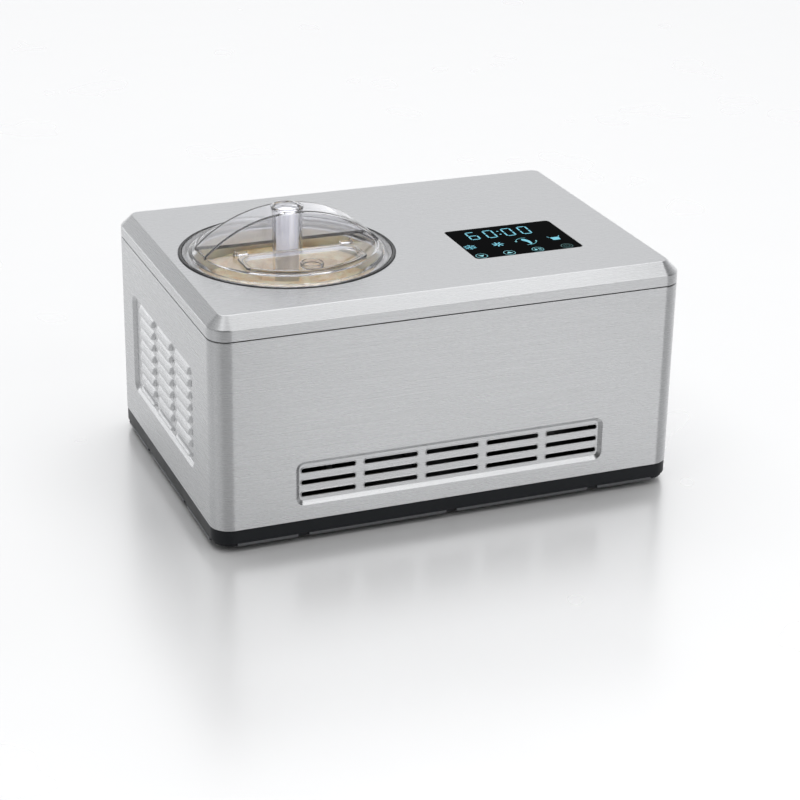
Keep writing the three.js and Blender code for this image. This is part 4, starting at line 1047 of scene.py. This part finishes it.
def display():
    lit, white, faint = Print(), Print(), Print()
    for value, x in (("6", -34.8), ("0", -18.2), ("0", -0.4), ("0", 15.2)):
        digit(lit, value, x, 10.6)
    for x, y in ((-4.8, 16.3), (-4.4, 24.4)):
        lit.dot(x, y, 1.0)

    x, y = -44.1, -6.8  # frost star
    for k in range(6):
        a = math.radians(60 * k + 30)
        lit.line((x, y), (x + 5.4 * math.cos(a), y + 5.4 * math.sin(a)), 0.8)
        knot = (x + 3.3 * math.cos(a), y + 3.3 * math.sin(a))
        for side in (-1, 1):
            b = a + side * math.radians(55)
            lit.line(knot, (knot[0] + 2 * math.cos(b), knot[1] + 2 * math.sin(b)), 0.65)

    x, y = -18, -7.7  # fan
    for k in range(7):
        a = math.radians(360 / 7 * k)
        lit.shape(
            [
                (x + r * math.cos(a + t), y + r * math.sin(a + t)) for r,
                t in ((1.0, -0.3), (5.8, -0.12), (5.0, 0.16), (1.6, 0.7))
            ]
        )

    x, y = 8.9, -8.2  # paddle with its turning arrows
    lit.shape(
        [
            (x - 2.0, y + 7.0), (x + 1.2, y + 5.6), (x + 3.6, y + 0.5), (x + 3.4, y - 6.5), (x + 1.2, y - 8.4),
            (x + 0.4, y - 2.0), (x - 2.8, y + 3.2)
        ]
    )
    for turn in (0, 180):
        path = [(x + u, y + v) for u, v in arc(0, 0, 9.0, 75 + turn, 165 + turn, 14)]
        white.path(path, 0.6)
        (ax, ay), (bx, by) = path[-2:]
        along = Vector((bx - ax, by - ay)).normalized() * 2.2
        across = Vector((-along.y, along.x)) * 0.6
        tip, root = Vector((bx, by)) + along, Vector((bx, by))
        white.shape([tuple(tip), tuple(root + across), tuple(root - across)])

    x, y = 36.9, -8.8  # tub
    lit.shape([(x - 3.4, y - 4.4), (x + 3.4, y - 4.4), (x + 4.2, y + 2.6), (x - 4.2, y + 2.6)])
    for side in (-1, 1):
        lit.line((x + side * 4.6, y + 2.9), (x + side * 5.6, y + 5.2), 0.7)

    y = -30.6
    keys = (-43.4, -17.2, 10.0, 38.0)
    for x in keys:
        (faint if x == keys[-1] else white).ring(x, y, 5.4, 0.5)
    x = keys[0]
    white.shape([(x - 2.9, y + 1.6), (x + 2.9, y + 1.6), (x, y - 2.6)])
    x = keys[1]
    white.shape([(x - 2.9, y - 1.6), (x + 2.9, y - 1.6), (x, y + 2.6)])
    x = keys[2]
    white.shape([(x - 3.0, y - 2.2), (x + 0.4, y), (x - 3.0, y + 2.2)])
    for off in (1.4, 2.9):
        white.line((x + off, y - 1.9), (x + off, y + 1.9), 0.7)
    x = keys[3]
    faint.path(arc(x, y, 2.7, 125, 415, 16), 0.6)
    faint.line((x, y + 0.4), (x, y + 3.3), 0.6)
    for name, sign, material in (("lit_signs", lit, cyan), ("pale_signs", white, pale), ("dim_signs", faint, dim)):
        add(name, sign.skin, [material], "housing", slot="panel_glass")


display()

# ---------------------------------------------------------------- finishes of the CAD nodes that stay in view
SLOT_FINISH = {
    "brushed_housing": brushed_steel, "base_plastic": base_black, "foot_rubber": rubber, "frame_plastic": frame_grey,
    "ring_plastic": ring_black, "zinc_steel": zinc, "bowl_aluminium": bowl_metal, "well_aluminium": bowl_metal,
    "copper_tube": copper, "foam": foam, "compressor_black": black_paint, "black_plastic": inner_plastic,
    "circuit_board": board_green, "gear_plastic": gear_white, "handle_plastic": handle_white,
    "paddle_plastic": paddle_clear, "clear_lid": clear_lid, "panel_glass": panel_black,
}
for part in frame["record"]["subparts"]:
    shown = frame["nodes"][part["node"]]
    shown.data.materials.clear()
    shown.data.materials.append(SLOT_FINISH[part["material_slot"]])
    smooth(shown.data, 35)


# ---------------------------------------------------------------- floor, light and camera
def quad(name, size, material, location=(0, 0, 0), rotation=(0, 0, 0)):
    mesh = bpy.data.meshes.new(name)
    s, t = size[0] / 2, size[1] / 2
    mesh.from_pydata([(-s, -t, 0), (s, -t, 0), (s, t, 0), (-s, t, 0)], [], [(0, 1, 2, 3)])
    mesh.materials.append(material)
    made = bpy.data.objects.new(name, mesh)
    made.location, made.rotation_euler = location, rotation
    bpy.context.scene.collection.objects.link(made)
    return made


floor_white, tree, shader = new_material("floor_white")
shader.inputs["Base Color"].default_value = (0.97, 0.97, 0.972, 1)
shader.inputs["Metallic"].default_value = 0.35
tree.links.new(ramp(tree, grain(tree, (6, 6, 6)), 0.24, 0.28, 0.3, 0.7), shader.inputs["Roughness"])
quad("floor", (60, 60), floor_white)


def area_light(name, size, radiance, location, target):
    """A rectangular lamp that the camera doesn't see, as bright per area whatever its size."""
    light = bpy.data.lights.new(name, "AREA")
    light.shape, light.size, light.size_y = "RECTANGLE", *size
    light.energy = math.pi * radiance * size[0] * size[1]
    lamp = bpy.data.objects.new(name, light)
    lamp.location = location
    lamp.rotation_euler = (Vector(target) - Vector(location)).to_track_quat("-Z", "Y").to_euler()
    lamp.visible_camera = False
    bpy.context.scene.collection.objects.link(lamp)


def around(azimuth, reach, height):
    """A place at an angle from the front, positive to the right."""
    return (reach * math.sin(math.radians(azimuth)), -reach * math.cos(math.radians(azimuth)), height)


area_light("top_softbox", (4, 4), 1.45, (0, 0.4, 3.2), (0, 0, 0))
area_light("right_softbox", (1.3, 1.8), 1.25, around(24, 2.6, 1.1), (0, 0, 0.1))
area_light("left_softbox", (1.9, 1.8), 0.35, around(-71, 2.4, 1.1), (0, 0, 0.1))
area_light("high_front_softbox", (1.7, 0.6), 2.1, around(25, 1.9, 2.0), (0, 0, 0.1))
area_light("low_rear_softbox", (1.8, 0.4), 1.3, around(-149, 3.0, 0.34), (0, 0, 0.1))

world = bpy.data.worlds.new("studio")
bpy.context.scene.world = world
world.use_nodes = True
tree = world.node_tree
toward = node(tree, "ShaderNodeTexCoord").outputs["Generated"]
split = node(tree, "ShaderNodeSeparateXYZ", {0: toward})
ahead = ramp(tree, split.outputs["Y"], 0.12, 0.95, -0.5, 0.4)
aside = ramp(tree, split.outputs["X"], 0.55, 1.0, -0.5, 0.15)
level = ramp(tree, split.outputs["Z"], 1.5, 1.0, 0.03, 0.28)
across = node(tree, "ShaderNodeMath", {0: ahead, 1: aside}, operation="MULTIPLY").outputs[0]
total = node(tree, "ShaderNodeMath", {0: across, 1: level}, operation="MULTIPLY").outputs[0]
tree.links.new(total, tree.nodes["Background"].inputs["Strength"])
tree.nodes["Background"].inputs["Color"].default_value = (0.985, 0.99, 1.0, 1)

camera_data = bpy.data.cameras.new("camera")
camera = bpy.data.objects.new("camera", camera_data)
bpy.context.scene.collection.objects.link(camera)
bpy.context.scene.camera = camera
# The photograph's viewing angle, fitted to the machine's edges without any lens shift.
AZIMUTH, ELEVATION, ROLL = math.radians(21.94), math.radians(23.431), math.radians(0.985)
CAMERA_REACH = 1.98852
SENSOR_WIDTH, FOCAL_LENGTH = 36, 97.792
target = Vector((0.00938, 0, 0.04903))
back = Vector((-math.sin(AZIMUTH) * math.cos(ELEVATION), -math.cos(AZIMUTH) * math.cos(ELEVATION), math.sin(ELEVATION)))
camera.location = target + back * CAMERA_REACH
camera.rotation_mode = "QUATERNION"
camera.rotation_quaternion = (-back).to_track_quat("-Z", "Y") @ Matrix.Rotation(ROLL, 3, "Z").to_quaternion()
camera_data.sensor_width, camera_data.lens = SENSOR_WIDTH, FOCAL_LENGTH
camera_data.clip_start, camera_data.clip_end = 0.05, 100

view = bpy.context.scene.view_settings
view.view_transform, view.look, view.exposure, view.gamma = "Standard", "None", 0, 1
